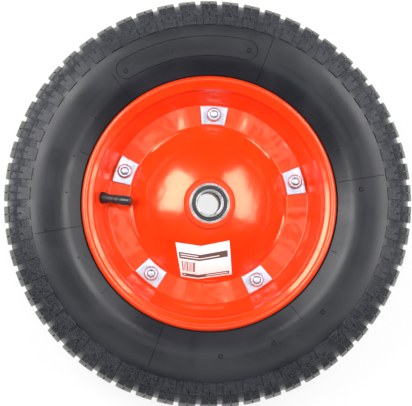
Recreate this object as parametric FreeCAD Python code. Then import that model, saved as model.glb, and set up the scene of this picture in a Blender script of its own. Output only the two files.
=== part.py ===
# Pneumatic wheelbarrow wheel: a treaded tyre and its inner tube on a two-piece pressed steel rim,
# bolted together through five clamp plates and turning on two sealed ball bearings.
# Lengths are in millimetres and angles in degrees.
# The wheel lies on its side: the axle runs along Z through the origin, at the middle of the wheel,
# and +Z is the side with the valve, the nuts and the label.
import FreeCAD, Part
import math
import os

# Tyre
tyre_radius = 180.0
tyre_half_width = 41.0
widest_radius = 137.5
widest_span = 19.0
sidewall_upper_bend = 50.0
sidewall_lower_bend = 30.0
crown_setback = 13.0
crown_drop = 5.8
crown_level_share = 0.52
crown_bend = 60.0
carcass_bend = 28.0
crown_thickness = 8.5
sidewall_thickness = 4.0
bead_thickness = 5.0
bead_base_width = 3.0
bead_toe_slope = 45.0
bead_rim_gap = 0.4
bead_flange_gap = 0.6
bead_groove_width = 1.7
bead_groove_depth = 1.0

# Tread
tread_pitches = 58
tread_depth = 3.0
centre_groove_width = 3.0
centre_groove_depth = 2.5
crown_gap_angle = 1.65
shoulder_gap_angle = 2.4
shoulder_groove_inner_drop = 14.6
shoulder_groove_inner_setback = 8.4
shoulder_groove_outer_drop = 11.0
shoulder_groove_outer_setback = 10.8
lug_edge_rise = 2.6
lug_edge_lean = 0.4
lug_inner_drop = 25.4
lug_inner_setback = 0.8
lug_step = 1.0
lug_step_lean = 0.3
gap_floor_lift = 0.35
sipe_width = 1.0
sipe_depth = 2.0
sipe_start = 2.5
sipe_foot_rise = 1.2
notch_length = 3.0
notch_depth = 1.2
cutter_margin = 4.0
overrun = 1.0

# Rim
sheet = 1.8
bead_seat_radius = 101.3
bead_seat_taper = 5.0
bead_seat_length = 9.0
flange_root_height = 27.5
flange_radius = 110.2
lip_height = 33.4
lip_crest_inset = 2.4
lip_foot_inset = 4.9
flange_face_height = 30.2
lip_end_height = 30.8
annulus_inner_radius = 69.6
annulus_outer_radius = 88.8
dish_height = 31.5
dish_inner_slope = 15.0
dish_outer_slope = 47.0
dish_bend = 90.0
tight_bend = 1.8
ring_bend = 1.8
press_bend = 3.2
collar_setback = 1.0
collar_clearance = 0.05

# Hub
hub_half_length = 37.5
hub_tube_radius = 19.5
hub_shoulder_radius = 16.5
bearing_recess = 0.5
edge_chamfer = 0.4

# Bearings
bearing_bore_radius = 10.0
bearing_outer_radius = 17.5
bearing_width = 11.0
ball_count = 10
ball_radius = 2.38
race_clearance = 0.05
race_shoulder = 0.75
seal_thickness = 1.1
seal_recess = 0.4
seal_groove_depth = 0.5
seal_lip_clearance = 0.08
cage_thickness = 1.4
cage_side_wall = 0.8
cage_clearance = 0.1

# Clamp plates and bolts
bolt_count = 5
bolt_circle_outset = 0.2
first_bolt_angle = 14.5
bolt_radius = 3.0
bolt_hole_clearance = 0.3
thread_clearance = 0.05
plate_thickness = 2.0
plate_angle = 16.3
plate_edge_gap = 0.3
plate_bevel = 0.5
hex_across_flats = 10.0
nut_height = 6.0
head_height = 5.0
hex_flange_radius = 6.5
hex_flange_height = 1.3
hex_flange_rise = 2.1
hex_top_radius = 4.8
hex_top_slope = 0.6
bolt_end_length = 1.4
bolt_end_chamfer = 0.7

# Inner tube
tube_gap = 0.5
tube_wall = 2.0
tube_well_clearance = 2.4
tube_shoulder_drop = 3.0
tube_toe_clearance = 1.6
tube_bend = 2.5

# Valve, whose distances run along its own axis from the middle of the rim's wall
valve_azimuth = 176.6
valve_wall_radius = 94.3
valve_lean_out = 22.0
valve_lean_side = -4.4
valve_hole_radius = 5.4
stem_hole_clearance = 0.4
stem_flare_radius = 5.0
stem_flare_end = 3.4
stem_flare_bend = 1.5
stem_neck_start = 7.2
stem_neck_radius = 3.7
stem_neck_bend = 4.0
stem_end = 13.6
stem_end_bend = 0.6
stem_root = 5.5
insert_radius = 2.9
insert_start = -4.0
thread_radius = 3.85
thread_start = 14.2
thread_end = 26.0
core_bore_radius = 1.7
core_seat_radius = 2.6
core_seat_start = 15.0
core_top_gap = 0.8
pin_radius = 0.8
pin_clearance = 0.1
pin_head_radius = 1.5
pin_head_length = 1.2
pin_travel = 1.4
cap_start = 13.9
cap_end = 28.4
cap_radius = 4.55
cap_skirt_radius = 4.4
cap_tip_radius = 4.1
cap_tip_bend = 1.0
cap_thread_clearance = 0.1
cap_crown = 1.2
cap_ribs = 16
cap_rib_cut = 0.3

# Label
label_thickness = 0.18
label_lift = 0.03
label_top_left = (-29.3, -33.7)
label_top_dip = (-7.1, -37.0)
label_top_right = (17.5, -32.2)
label_bottom_right = (20.6, -61.8)
label_bottom_middle = (-9.2, -66.0)
label_bottom_left = (-24.0, -63.8)

ORIGIN = FreeCAD.Vector(0, 0, 0)
AXLE = FreeCAD.Vector(0, 0, 1)


# Shapes that every piece is built from

def section_point(radius, height):
    """A point of a section, which lies in the plane of X and Z."""
    return FreeCAD.Vector(radius, 0, height)


def rounded_face(corners):
    """A flat face whose corners are (radius, height, bend), with straight runs between the bends."""
    starts = []
    middles = []
    ends = []
    for index, (radius, height, bend) in enumerate(corners):
        corner = section_point(radius, height)
        before = section_point(*corners[index - 1][:2]) - corner
        after = section_point(*corners[(index + 1) % len(corners)][:2]) - corner
        before.normalize()
        after.normalize()
        if bend <= 0:
            starts.append(corner)
            middles.append(None)
            ends.append(corner)
            continue
        half_angle = before.getAngle(after) / 2
        reach = bend / math.tan(half_angle)
        inward = before + after
        inward.normalize()
        starts.append(corner + before * reach)
        middles.append(corner + inward * (bend / math.sin(half_angle) - bend))
        ends.append(corner + after * reach)
    edges = []
    for index, middle in enumerate(middles):
        if middle is not None:
            edges.append(Part.Arc(starts[index], middle, ends[index]).toShape())
        run_start = ends[index]
        run_end = starts[(index + 1) % len(corners)]
        if run_start.distanceToPoint(run_end) > 0.001:
            edges.append(Part.LineSegment(run_start, run_end).toShape())
    return Part.Face(Part.Wire(edges))


def moved_aside(corners, distance, closed):
    """The corners of a line that runs beside another one, to its left seen along its way."""
    count = len(corners)
    aside = []
    for index, (radius, height, bend) in enumerate(corners):
        normals = []
        headings = []
        for first, second in ((index - 1, index), (index, index + 1)):
            if not closed and (first < 0 or second >= count):
                continue
            start = corners[first % count]
            end = corners[second % count]
            run_r = end[0] - start[0]
            run_z = end[1] - start[1]
            length = math.hypot(run_r, run_z)
            headings.append((run_r / length, run_z / length))
            normals.append((-run_z / length, run_r / length))
        if len(normals) == 1:
            normals = normals * 2
            headings = headings * 2
        dot = normals[0][0] * normals[1][0] + normals[0][1] * normals[1][1]
        step = distance / (1 + dot)
        turn = headings[0][0] * headings[1][1] - headings[0][1] * headings[1][0]
        tighter = distance if turn > 0 else -distance
        new_bend = bend - tighter if bend > 0 else 0
        aside.append((
            radius + step * (normals[0][0] + normals[1][0]),
            height + step * (normals[0][1] + normals[1][1]),
            new_bend if new_bend > 0.01 else 0,
        ))
    return aside


def sheet_face(path, lower, upper):
    """The face between two lines beside an open path, at two distances to its left."""
    near = moved_aside(path, lower, False)
    far = moved_aside(path, upper, False)
    return rounded_face(near + far[::-1])


def both_sides(corners):
    """A closed outline from the corners of its +Z half."""
    return corners + [(r, -z, bend) for r, z, bend in reversed(corners)]


def turned(face, angle=360.0):
    """The solid that a section sweeps about the axle."""
    return face.revolve(ORIGIN, AXLE, angle)


def turned_section(corners):
    """The full turned solid of a section's corners."""
    return turned(rounded_face(corners))


def wedge(corners, angle, middle):
    """A short stretch of a turned solid, centred on an angle about the axle."""
    face = rounded_face(corners)
    face.rotate(ORIGIN, AXLE, middle - angle / 2)
    return turned(face, angle)


def sharp(points):
    """Corners with no bend."""
    return [(r, z, 0) for r, z in points]


def flipped(shape):
    """The same shape on the wheel's -Z side."""
    return shape.mirror(ORIGIN, AXLE)


def around(shape, count, first_angle):
    """Copies of a shape, evenly spaced about the axle."""
    copies = []
    for index in range(count):
        copy = shape.copy()
        copy.rotate(ORIGIN, AXLE, first_angle + 360.0 * index / count)
        copies.append(copy)
    return copies


def save(name, shape):
    """Write one piece, or one group of like pieces."""
    shape.exportStep(os.path.join("parts", name + ".step"))


# Rim: each half is one pressed sheet, from the collar on the hub tube to the rolled lip

collar_middle = hub_tube_radius + collar_clearance + sheet / 2
seat_middle = bead_seat_radius - sheet / 2
seat_foot = seat_middle - bead_seat_length * math.tan(math.radians(bead_seat_taper))
seat_foot_height = flange_root_height - bead_seat_length


def dish_corner():
    """Where the shallow slope at the hub would meet the steep slope at the flat ring."""
    inner = math.tan(math.radians(dish_inner_slope))
    outer = math.tan(math.radians(dish_outer_slope))
    rise = sheet / 2 + annulus_inner_radius * outer - dish_height - collar_middle * inner
    radius = rise / (outer - inner)
    return (radius, dish_height - (radius - collar_middle) * inner, dish_bend)


def rim_path():
    """The middle of the front sheet, from the hub outwards."""
    return [
        (collar_middle, hub_half_length - collar_setback, 0),
        (collar_middle, dish_height, press_bend),
        dish_corner(),
        (annulus_inner_radius, sheet / 2, ring_bend),
        (annulus_outer_radius, sheet / 2, ring_bend),
        (seat_foot, seat_foot_height, press_bend),
        (seat_middle, flange_root_height, press_bend),
        (flange_radius - lip_foot_inset, flange_face_height, tight_bend),
        (flange_radius - lip_crest_inset, lip_height, tight_bend),
        (flange_radius - sheet / 4, lip_end_height, 0),
    ]


def flat_ring_edges():
    """The radii between which the flat ring is level, inside its two bends."""
    inner = annulus_inner_radius + ring_bend * math.tan(math.radians(dish_outer_slope / 2))
    wall_turn = math.atan2(seat_foot_height - sheet / 2, seat_foot - annulus_outer_radius)
    outer = annulus_outer_radius - ring_bend * math.tan(wall_turn / 2)
    return inner, outer


# The bolts stand just outside the middle of the flat ring
bolt_circle_radius = (annulus_inner_radius + annulus_outer_radius) / 2 + bolt_circle_outset


def bolt_holes():
    """Drills for the bolts, through both sheets."""
    radius = bolt_radius + bolt_hole_clearance
    reach = 4 * sheet
    drill = Part.makeCylinder(radius, 2 * reach, FreeCAD.Vector(bolt_circle_radius, 0, -reach))
    return around(drill, bolt_count, first_bolt_angle)


def make_rim_half():
    """One half with its bolt holes and no valve hole."""
    half = turned(sheet_face(rim_path(), -sheet / 2, sheet / 2))
    return half.cut(bolt_holes())


# Tyre: carcass, beads and tread are one moulding, whose tread keeps its place from the widest sidewall

crown_half_width = tyre_half_width - crown_setback
lug_inner_radius = tyre_radius - lug_inner_drop
lug_inner_height = tyre_half_width - lug_inner_setback


def seat_radius_at(height):
    """The rim's bead seat, on the tyre's side."""
    taper = math.tan(math.radians(bead_seat_taper))
    return bead_seat_radius - (flange_root_height - height) * taper


def groove_floor():
    """The shoulder groove between a lug and a crown block, from the lug outwards."""
    return [
        (tyre_radius - shoulder_groove_inner_drop, tyre_half_width - shoulder_groove_inner_setback),
        (tyre_radius - shoulder_groove_outer_drop, tyre_half_width - shoulder_groove_outer_setback),
    ]


def crown_line(depth):
    """The crown from its middle to its edge, or a line that runs at a depth below it."""
    crown = [
        (tyre_radius, 0, 0),
        (tyre_radius, crown_half_width * crown_level_share, crown_bend),
        (tyre_radius - crown_drop, crown_half_width, 0),
    ]
    return moved_aside(crown, depth, False)


def floor_corners(depth):
    """The corners of a cut's floor below the crown, from the edge towards the middle."""
    return [(r, z) for r, z, bend in crown_line(depth)[:0:-1]]


def cavity_half():
    """The +Z half of the carcass's inside, from the bead's toe to the crown."""
    inside = tyre_half_width - sidewall_thickness
    slope = math.radians(bead_toe_slope)
    toe_height = seat_foot_height - bead_rim_gap
    toe_radius = seat_radius_at(toe_height) + bead_rim_gap
    knee = flange_radius + bead_thickness / 2
    return [
        (toe_radius + bead_base_width, toe_height, 0),
        (knee, toe_height + (knee - toe_radius - bead_base_width) * math.tan(slope), 0),
        (widest_radius - widest_span / 2, inside, sidewall_lower_bend - sidewall_thickness),
        (tyre_radius - crown_thickness, inside, carcass_bend),
    ]


def carcass_half():
    """The +Z half of the moulding's outline, from the centre groove round to the crown's inside."""
    inner_floor, outer_floor = groove_floor()
    crown_corner, crown_edge = crown_line(0)[1:]
    flange_foot = flange_face_height - sheet / 2
    heel_height = flange_root_height - sheet - bead_rim_gap
    toe_height = seat_foot_height - bead_rim_gap
    half_groove = centre_groove_width / 2
    return [
        (tyre_radius - centre_groove_depth, half_groove, 0),
        (tyre_radius, half_groove, 0),
        crown_corner,
        crown_edge,
        outer_floor + (0,),
        inner_floor + (0,),
        (inner_floor[0] + lug_edge_lean, inner_floor[1] + lug_edge_rise, 0),
        (lug_inner_radius, lug_inner_height, 0),
        (lug_inner_radius - lug_step_lean, lug_inner_height - lug_step, 0),
        (widest_radius + widest_span / 2, tyre_half_width, sidewall_upper_bend),
        (widest_radius - widest_span / 2, tyre_half_width, sidewall_lower_bend),
        (flange_radius + bead_groove_width, flange_face_height + bead_groove_depth, 0),
        (flange_radius + bead_flange_gap, flange_foot, 0),
        (flange_radius - lip_foot_inset, flange_foot - 2 * bead_rim_gap, 0),
        (bead_seat_radius + bead_rim_gap, heel_height, 0),
        (seat_radius_at(toe_height) + bead_rim_gap, toe_height, 0),
    ] + cavity_half()


def crown_gap_section():
    """The gap between crown blocks, right across the tread."""
    floor_radius, floor_height = groove_floor()[1]
    return sharp([
        (tyre_radius + cutter_margin, floor_height + cutter_margin),
        (floor_radius, floor_height + cutter_margin),
        (floor_radius, floor_height + overrun),
    ] + floor_corners(tread_depth))


def shoulder_gap_section():
    """The gap between shoulder lugs, level with the sidewall and deepening towards the crown."""
    inner_floor, outer_floor = groove_floor()
    start = lug_inner_radius - 2 * lug_step_lean
    start_height = lug_inner_height - lug_step + gap_floor_lift
    end = (inner_floor[0] + outer_floor[0]) / 2
    end_height = inner_floor[1] + gap_floor_lift
    return sharp([
        (start - cutter_margin / 2, start_height + cutter_margin / 2),
        (start, start_height),
        (end, end_height),
        (end + cutter_margin / 4, end_height + cutter_margin),
        (start + cutter_margin / 2, start_height + cutter_margin),
    ])


def sipe_section():
    """The thin slit across one crown block."""
    floor_radius, floor_height = groove_floor()[1]
    start = centre_groove_width / 2 + sipe_start
    foot = floor_radius + sipe_foot_rise
    return sharp([
        (tyre_radius - sipe_depth, start),
        (tyre_radius + cutter_margin, start),
        (tyre_radius + cutter_margin, floor_height + cutter_margin),
        (foot, floor_height + cutter_margin),
        (foot, floor_height + sipe_width / 2),
    ] + floor_corners(sipe_depth))


def notch_section():
    """The short end of the slit, at the outer edge of a shoulder lug."""
    inner_floor = groove_floor()[0]
    edge_height = inner_floor[1] + lug_edge_rise
    start = inner_floor[0] - notch_length
    floor_rise = notch_length * (lug_inner_height - edge_height) / (inner_floor[0] - lug_inner_radius)
    return sharp([
        (start, edge_height + cutter_margin),
        (start, edge_height + floor_rise - notch_depth),
        (inner_floor[0] + overrun, edge_height - notch_depth),
        (inner_floor[0] + overrun, edge_height + cutter_margin),
    ])


def tread_cutters():
    """Every gap, slit and notch of the tread."""
    gap = wedge(both_sides(crown_gap_section()), crown_gap_angle, 0)
    cutters = around(gap, tread_pitches, 0)
    slit_angle = math.degrees(sipe_width / tyre_radius)
    block_middle = 180.0 / tread_pitches
    one_sided = (
        (shoulder_gap_section(), shoulder_gap_angle, 0),
        (sipe_section(), slit_angle, block_middle),
        (notch_section(), slit_angle, block_middle),
    )
    for section, angle, middle in one_sided:
        cutter = wedge(section, angle, middle)
        cutters += around(cutter, tread_pitches, 0)
        cutters += around(flipped(cutter), tread_pitches, 0)
    return cutters


def make_tyre():
    """The moulded tyre."""
    return turned_section(both_sides(carcass_half())).cut(tread_cutters())


# Valve: its pieces are turned about their own axis and then set in the rim's wall

def valve_placement():
    """From the valve's own axis, which is +Z there, to its place in the front rim half."""
    wall_slope = (seat_foot_height - sheet / 2) / (seat_foot - annulus_outer_radius)
    height = sheet / 2 + (valve_wall_radius - annulus_outer_radius) * wall_slope
    lean = FreeCAD.Rotation(FreeCAD.Vector(0, 1, 0), valve_lean_out - 90)
    side = FreeCAD.Rotation(AXLE, valve_lean_side)
    at_wall = FreeCAD.Placement(FreeCAD.Vector(valve_wall_radius, 0, height), side.multiply(lean))
    to_azimuth = FreeCAD.Placement(ORIGIN, FreeCAD.Rotation(AXLE, valve_azimuth))
    return to_azimuth.multiply(at_wall)


def set_in_rim(shape):
    """A valve piece at its place."""
    placed = shape.copy()
    placed.transformShape(valve_placement().toMatrix())
    return placed


def rod(radius, start, end):
    """A cylinder on the valve's own axis."""
    return Part.makeCylinder(radius, end - start, FreeCAD.Vector(0, 0, start))


def stem_outline():
    """The rubber stem, which flares where it leaves the rim and narrows to its neck."""
    in_hole = valve_hole_radius - stem_hole_clearance
    return [
        (0, -stem_root, 0),
        (in_hole, -stem_root, 0),
        (in_hole, sheet, 0),
        (stem_flare_radius, stem_flare_end, stem_flare_bend),
        (stem_neck_radius, stem_neck_start, stem_neck_bend),
        (stem_neck_radius, stem_end, stem_end_bend),
        (0, stem_end, 0),
    ]


def tube_half():
    """The +Z half of the inner tube's outside, set off from the rim, the beads and the carcass."""
    cavity = both_sides(cavity_half())
    inset = moved_aside(cavity, -tube_gap, True)[1:len(cavity) // 2]
    shoulder_height = seat_foot_height - tube_shoulder_drop
    wall_slope = (seat_foot - annulus_outer_radius) / (seat_foot_height - sheet / 2)
    well_radius = annulus_outer_radius + tube_well_clearance
    shoulder_radius = well_radius + (shoulder_height - sheet / 2) * wall_slope
    toe_radius = seat_radius_at(seat_foot_height) + tube_toe_clearance + bead_base_width
    return [
        (well_radius, sheet / 2, 0),
        (shoulder_radius, shoulder_height, tube_bend),
        (toe_radius, seat_foot_height - tube_toe_clearance, tube_bend),
    ] + inset


def make_inner_tube():
    """The rubber ring with its rubber stem, one bonded piece with the brass insert's bore."""
    outside = both_sides(tube_half())
    inside = moved_aside(outside, -tube_wall, True)
    ring = turned(rounded_face(outside).cut(rounded_face(inside)).Faces[0])
    stem = set_in_rim(turned_section(stem_outline()))
    bore = set_in_rim(rod(insert_radius, insert_start, stem_end + overrun))
    air_way = set_in_rim(rod(core_bore_radius, -stem_root - 4 * tube_wall, insert_start + overrun))
    return ring.fuse(stem).cut([bore, air_way])


def make_valve_body():
    """The brass insert with its threaded end, bored for the core."""
    corners = [
        (core_bore_radius, insert_start, 0),
        (insert_radius, insert_start, 0),
        (insert_radius, thread_start, 0),
        (thread_radius, thread_start, 0),
        (thread_radius, thread_end - edge_chamfer, 0),
        (thread_radius - edge_chamfer, thread_end, 0),
        (core_seat_radius, thread_end, 0),
        (core_seat_radius, core_seat_start, 0),
        (core_bore_radius, core_seat_start, 0),
    ]
    return set_in_rim(turned_section(corners))


def make_valve_core():
    """The core's barrel, which holds the pin."""
    bore = pin_radius + pin_clearance
    corners = [
        (bore, core_seat_start, 0),
        (core_seat_radius - thread_clearance, core_seat_start, 0),
        (core_seat_radius - thread_clearance, thread_end - core_top_gap - pin_travel, 0),
        (bore, thread_end - core_top_gap - pin_travel, 0),
    ]
    return set_in_rim(turned_section(corners))


def make_valve_pin():
    """The sprung pin with the seal head under the core."""
    pin = rod(pin_radius, core_seat_start - pin_clearance - pin_head_length, thread_end - core_top_gap)
    head_end = core_seat_start - pin_clearance
    return set_in_rim(pin.fuse(rod(pin_head_radius, head_end - pin_head_length, head_end)))


def make_valve_cap():
    """The screw cap with its ribbed grip."""
    thread_bore = thread_radius + cap_thread_clearance
    corners = [
        (thread_bore, cap_start, 0),
        (cap_skirt_radius, cap_start, 0),
        (cap_radius, (cap_start + cap_end) / 2, 0),
        (cap_tip_radius, cap_end, cap_tip_bend),
        (0, cap_end, 0),
        (0, cap_end - cap_crown, 0),
        (thread_bore, cap_end - cap_crown, 0),
    ]
    cap = turned_section(corners)
    rib_gap = math.pi * cap_radius / cap_ribs
    length = cap_end - cap_start - 2 * cap_crown
    corner = FreeCAD.Vector(cap_radius - cap_rib_cut, -rib_gap / 2, cap_start + cap_crown)
    cut = Part.makeBox(2 * cap_rib_cut, rib_gap, length, corner)
    return set_in_rim(cap.cut(around(cut, cap_ribs, 0)))


# Hub

def make_hub_tube():
    """The tube that joins the two rim halves and seats a bearing in each end."""
    seat_height = hub_half_length - bearing_recess - bearing_width
    half = [
        (hub_shoulder_radius, seat_height, 0),
        (bearing_outer_radius, seat_height, 0),
        (bearing_outer_radius, hub_half_length - edge_chamfer, 0),
        (bearing_outer_radius + edge_chamfer, hub_half_length, 0),
        (hub_tube_radius - edge_chamfer, hub_half_length, 0),
        (hub_tube_radius, hub_half_length - edge_chamfer, 0),
    ]
    return turned_section(both_sides(half))


# Bearings: each is modelled about its own middle and then moved to its seat

pitch_radius = (bearing_bore_radius + bearing_outer_radius) / 2
race_radius = ball_radius + race_clearance
shoulder_offset = race_radius - race_shoulder
bearing_half_width = bearing_width / 2
bearing_middle = hub_half_length - bearing_recess - bearing_half_width
seal_outer_face = bearing_half_width - seal_recess
seal_inner_face = seal_outer_face - seal_thickness


def race_ring():
    """The ring that the balls roll in, cut from both races."""
    return Part.makeTorus(pitch_radius, race_radius)


def make_outer_ring():
    """The outer race with its two seal grooves."""
    land = pitch_radius + shoulder_offset
    half = [
        (land, seal_inner_face, 0),
        (land + seal_groove_depth, seal_inner_face, 0),
        (land + seal_groove_depth, seal_outer_face, 0),
        (land, seal_outer_face, 0),
        (land, bearing_half_width, 0),
        (bearing_outer_radius - edge_chamfer, bearing_half_width, 0),
        (bearing_outer_radius, bearing_half_width - edge_chamfer, 0),
    ]
    return turned_section(both_sides(half)).cut(race_ring())


def make_inner_ring():
    """The inner race, bored for the axle."""
    land = pitch_radius - shoulder_offset
    half = [
        (bearing_bore_radius, bearing_half_width - edge_chamfer, 0),
        (bearing_bore_radius + edge_chamfer, bearing_half_width, 0),
        (land, bearing_half_width, 0),
    ]
    return turned_section(both_sides(half)).cut(race_ring())


def make_balls():
    """One bearing's balls, each a solid of its own."""
    ball = Part.makeSphere(ball_radius, FreeCAD.Vector(pitch_radius, 0, 0))
    return Part.makeCompound(around(ball, ball_count, 0))


def make_cage():
    """The ring that keeps the balls apart."""
    half = [
        (pitch_radius - cage_thickness / 2, ball_radius + cage_side_wall, 0),
        (pitch_radius + cage_thickness / 2, ball_radius + cage_side_wall, 0),
    ]
    pocket = Part.makeCylinder(ball_radius + cage_clearance, 2 * cage_thickness,
                               FreeCAD.Vector(pitch_radius - cage_thickness, 0, 0),
                               FreeCAD.Vector(1, 0, 0))
    return turned_section(both_sides(half)).cut(around(pocket, ball_count, 0))


def make_seal():
    """A rubber seal, held in the outer race's groove and just clear of the inner race."""
    inner = pitch_radius - shoulder_offset + seal_lip_clearance
    outer = pitch_radius + shoulder_offset + seal_groove_depth
    return turned_section(sharp([
        (inner, seal_inner_face),
        (outer, seal_inner_face),
        (outer, seal_outer_face),
        (inner, seal_outer_face),
    ]))


def save_bearing(side, height):
    """The pieces of one bearing, moved to their seat."""
    pieces = {
        "outer_race": make_outer_ring(),
        "inner_race": make_inner_ring(),
        "balls": make_balls(),
        "cage": make_cage(),
        "upper_seal": make_seal(),
        "lower_seal": flipped(make_seal()),
    }
    for name, piece in pieces.items():
        piece.translate(FreeCAD.Vector(0, 0, height))
        save(side + "_bearing_" + name, piece)


# Clamp plates, bolts and nuts

def make_clamp_plate():
    """One sector-shaped plate with its bolt hole and bevelled upper edges."""
    flat_inner, flat_outer = flat_ring_edges()
    inner = flat_inner + plate_edge_gap
    outer = flat_outer - plate_edge_gap
    top = sheet + plate_thickness
    plate = wedge(sharp([(inner, sheet), (outer, sheet), (outer, top), (inner, top)]), plate_angle, 0)
    upper = [edge for edge in plate.Edges if edge.BoundBox.ZMin > top - plate_bevel / 2]
    plate = plate.makeChamfer(plate_bevel, upper)
    hole = Part.makeCylinder(bolt_radius + bolt_hole_clearance, 4 * plate_thickness,
                             FreeCAD.Vector(bolt_circle_radius, 0, 0))
    return plate.cut(hole)


def flanged_hex(height):
    """A hexagon with a round flange at its foot and turned upper corners, standing on Z = 0."""
    corner_radius = hex_across_flats / math.sqrt(3)
    points = []
    for index in range(7):
        angle = math.radians(60 * index)
        points.append(FreeCAD.Vector(corner_radius * math.cos(angle), corner_radius * math.sin(angle), 0))
    hexagon = Part.Face(Part.makePolygon(points)).extrude(FreeCAD.Vector(0, 0, height))
    blank_radius = corner_radius + overrun
    turned_top = turned_section(sharp([
        (0, -overrun),
        (blank_radius, -overrun),
        (blank_radius, height - hex_top_slope * (blank_radius - hex_top_radius)),
        (hex_top_radius, height),
        (0, height),
    ]))
    flange = turned_section(sharp([
        (0, 0),
        (hex_flange_radius, 0),
        (hex_flange_radius, hex_flange_height / 2),
        (hex_across_flats / 2, hex_flange_rise),
        (0, hex_flange_rise),
    ]))
    return hexagon.common(turned_top).fuse(flange).removeSplitter()


def make_nut():
    """A flange nut on a clamp plate."""
    bore = bolt_radius + thread_clearance
    nut = flanged_hex(nut_height)
    nut = nut.cut(Part.makeCylinder(bore, 2 * nut_height, FreeCAD.Vector(0, 0, -overrun)))
    mouth = Part.makeCone(bore, bore + bolt_end_chamfer, bolt_end_chamfer,
                          FreeCAD.Vector(0, 0, nut_height - bolt_end_chamfer))
    nut = nut.cut(mouth)
    nut.translate(FreeCAD.Vector(bolt_circle_radius, 0, sheet + plate_thickness))
    return nut


def make_bolt():
    """A flange bolt, whose head bears on the back rim half."""
    head = flanged_hex(head_height)
    head.rotate(ORIGIN, FreeCAD.Vector(1, 0, 0), 180)
    length = 2 * sheet + plate_thickness + nut_height + bolt_end_length
    tip = bolt_radius - bolt_end_chamfer
    shank = turned_section(sharp([
        (0, -overrun),
        (bolt_radius, -overrun),
        (bolt_radius, length - bolt_end_chamfer),
        (tip, length),
        (0, length),
    ]))
    bolt = head.fuse(shank)
    bolt.translate(FreeCAD.Vector(bolt_circle_radius, 0, -sheet))
    return bolt


def make_label():
    """The paper label, which follows the front dish below the hub."""
    hub_end, bend, ring_end = rim_path()[1:4]
    dish = [hub_end[:2] + (0,), bend, ring_end[:2] + (0,)]
    low = sheet / 2 + label_lift
    blank = turned(sheet_face(dish, low, low + label_thickness))
    outline = [
        label_top_left,
        label_top_dip,
        label_top_right,
        label_bottom_right,
        label_bottom_middle,
        label_bottom_left,
        label_top_left,
    ]
    wire = Part.makePolygon([FreeCAD.Vector(x, y, 0) for x, y in outline])
    return blank.common(Part.Face(wire).extrude(FreeCAD.Vector(0, 0, hub_half_length)))


# All the pieces

os.makedirs("parts", exist_ok=True)

rim_half = make_rim_half()
valve_hole = set_in_rim(rod(valve_hole_radius, -4 * sheet, 4 * sheet))
save("rim_front", rim_half.cut(valve_hole))
save("rim_back", flipped(rim_half))
save("hub_tube", make_hub_tube())
save_bearing("front", bearing_middle)
save_bearing("back", -bearing_middle)
save("clamp_plates", Part.makeCompound(around(make_clamp_plate(), bolt_count, first_bolt_angle)))
save("clamp_nuts", Part.makeCompound(around(make_nut(), bolt_count, first_bolt_angle)))
save("clamp_bolts", Part.makeCompound(around(make_bolt(), bolt_count, first_bolt_angle)))
save("inner_tube", make_inner_tube())
save("valve_body", make_valve_body())
save("valve_core", make_valve_core())
save("valve_pin", make_valve_pin())
save("valve_cap", make_valve_cap())
save("label", make_label())
save("tyre", make_tyre())
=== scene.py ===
"""The looks of a wheelbarrow wheel that lies on its side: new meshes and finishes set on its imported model.

Sizes in the classes are in millimetres and degrees, and meshes are in metres. The axle runs along Z through
the origin, and +Z is the side with the valve, the nuts and the label.
"""
import logging
import math
from contextlib import contextmanager
from dataclasses import dataclass
from enum import Enum
from typing import Callable, Dict, Iterator, List, Optional, Sequence, Tuple, Union

import bmesh
import bpy
from mathutils import Matrix, Vector


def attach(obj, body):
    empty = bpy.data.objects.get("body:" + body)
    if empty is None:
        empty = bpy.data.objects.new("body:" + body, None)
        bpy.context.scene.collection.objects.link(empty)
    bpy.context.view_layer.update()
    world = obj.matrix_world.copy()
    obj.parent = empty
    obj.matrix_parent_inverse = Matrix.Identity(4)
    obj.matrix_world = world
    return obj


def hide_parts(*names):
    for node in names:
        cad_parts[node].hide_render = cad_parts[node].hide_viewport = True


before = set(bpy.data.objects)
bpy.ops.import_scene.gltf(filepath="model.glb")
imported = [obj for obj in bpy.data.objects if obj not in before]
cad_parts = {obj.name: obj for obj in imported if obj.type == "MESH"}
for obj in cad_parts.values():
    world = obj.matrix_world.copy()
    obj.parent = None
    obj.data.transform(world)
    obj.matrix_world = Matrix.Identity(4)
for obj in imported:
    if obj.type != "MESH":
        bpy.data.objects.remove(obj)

log = logging.getLogger("wheel")

MM = 0.001
Point = Tuple[float, float]
Corner = Tuple[float, float, float]
Colour = Tuple[float, float, float]
Box = Tuple[float, float, float, float]
Piece = bpy.types.Object
Material = bpy.types.Material
Node = bpy.types.Node
NodeTree = bpy.types.NodeTree
Socket = bpy.types.NodeSocket
Level = Union[float, Socket]
Tone = Union[Colour, Socket]


class Side(Enum):
    """The wheel's two sides, as a sign along the axle."""

    FRONT = 1
    BACK = -1


class Slot(Enum):
    """The record's material slots."""

    TYRE = "tyre"
    TUBE = "tube_rubber"
    PAINT = "red_paint"
    ZINC = "zinc_steel"
    BEARING = "bearing_steel"
    CAGE = "cage_steel"
    SEAL = "seal_rubber"
    BRASS = "brass"
    PLASTIC = "black_plastic"
    PAPER = "label_paper"


# Sections: lines of points that are (radius, height)

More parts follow.
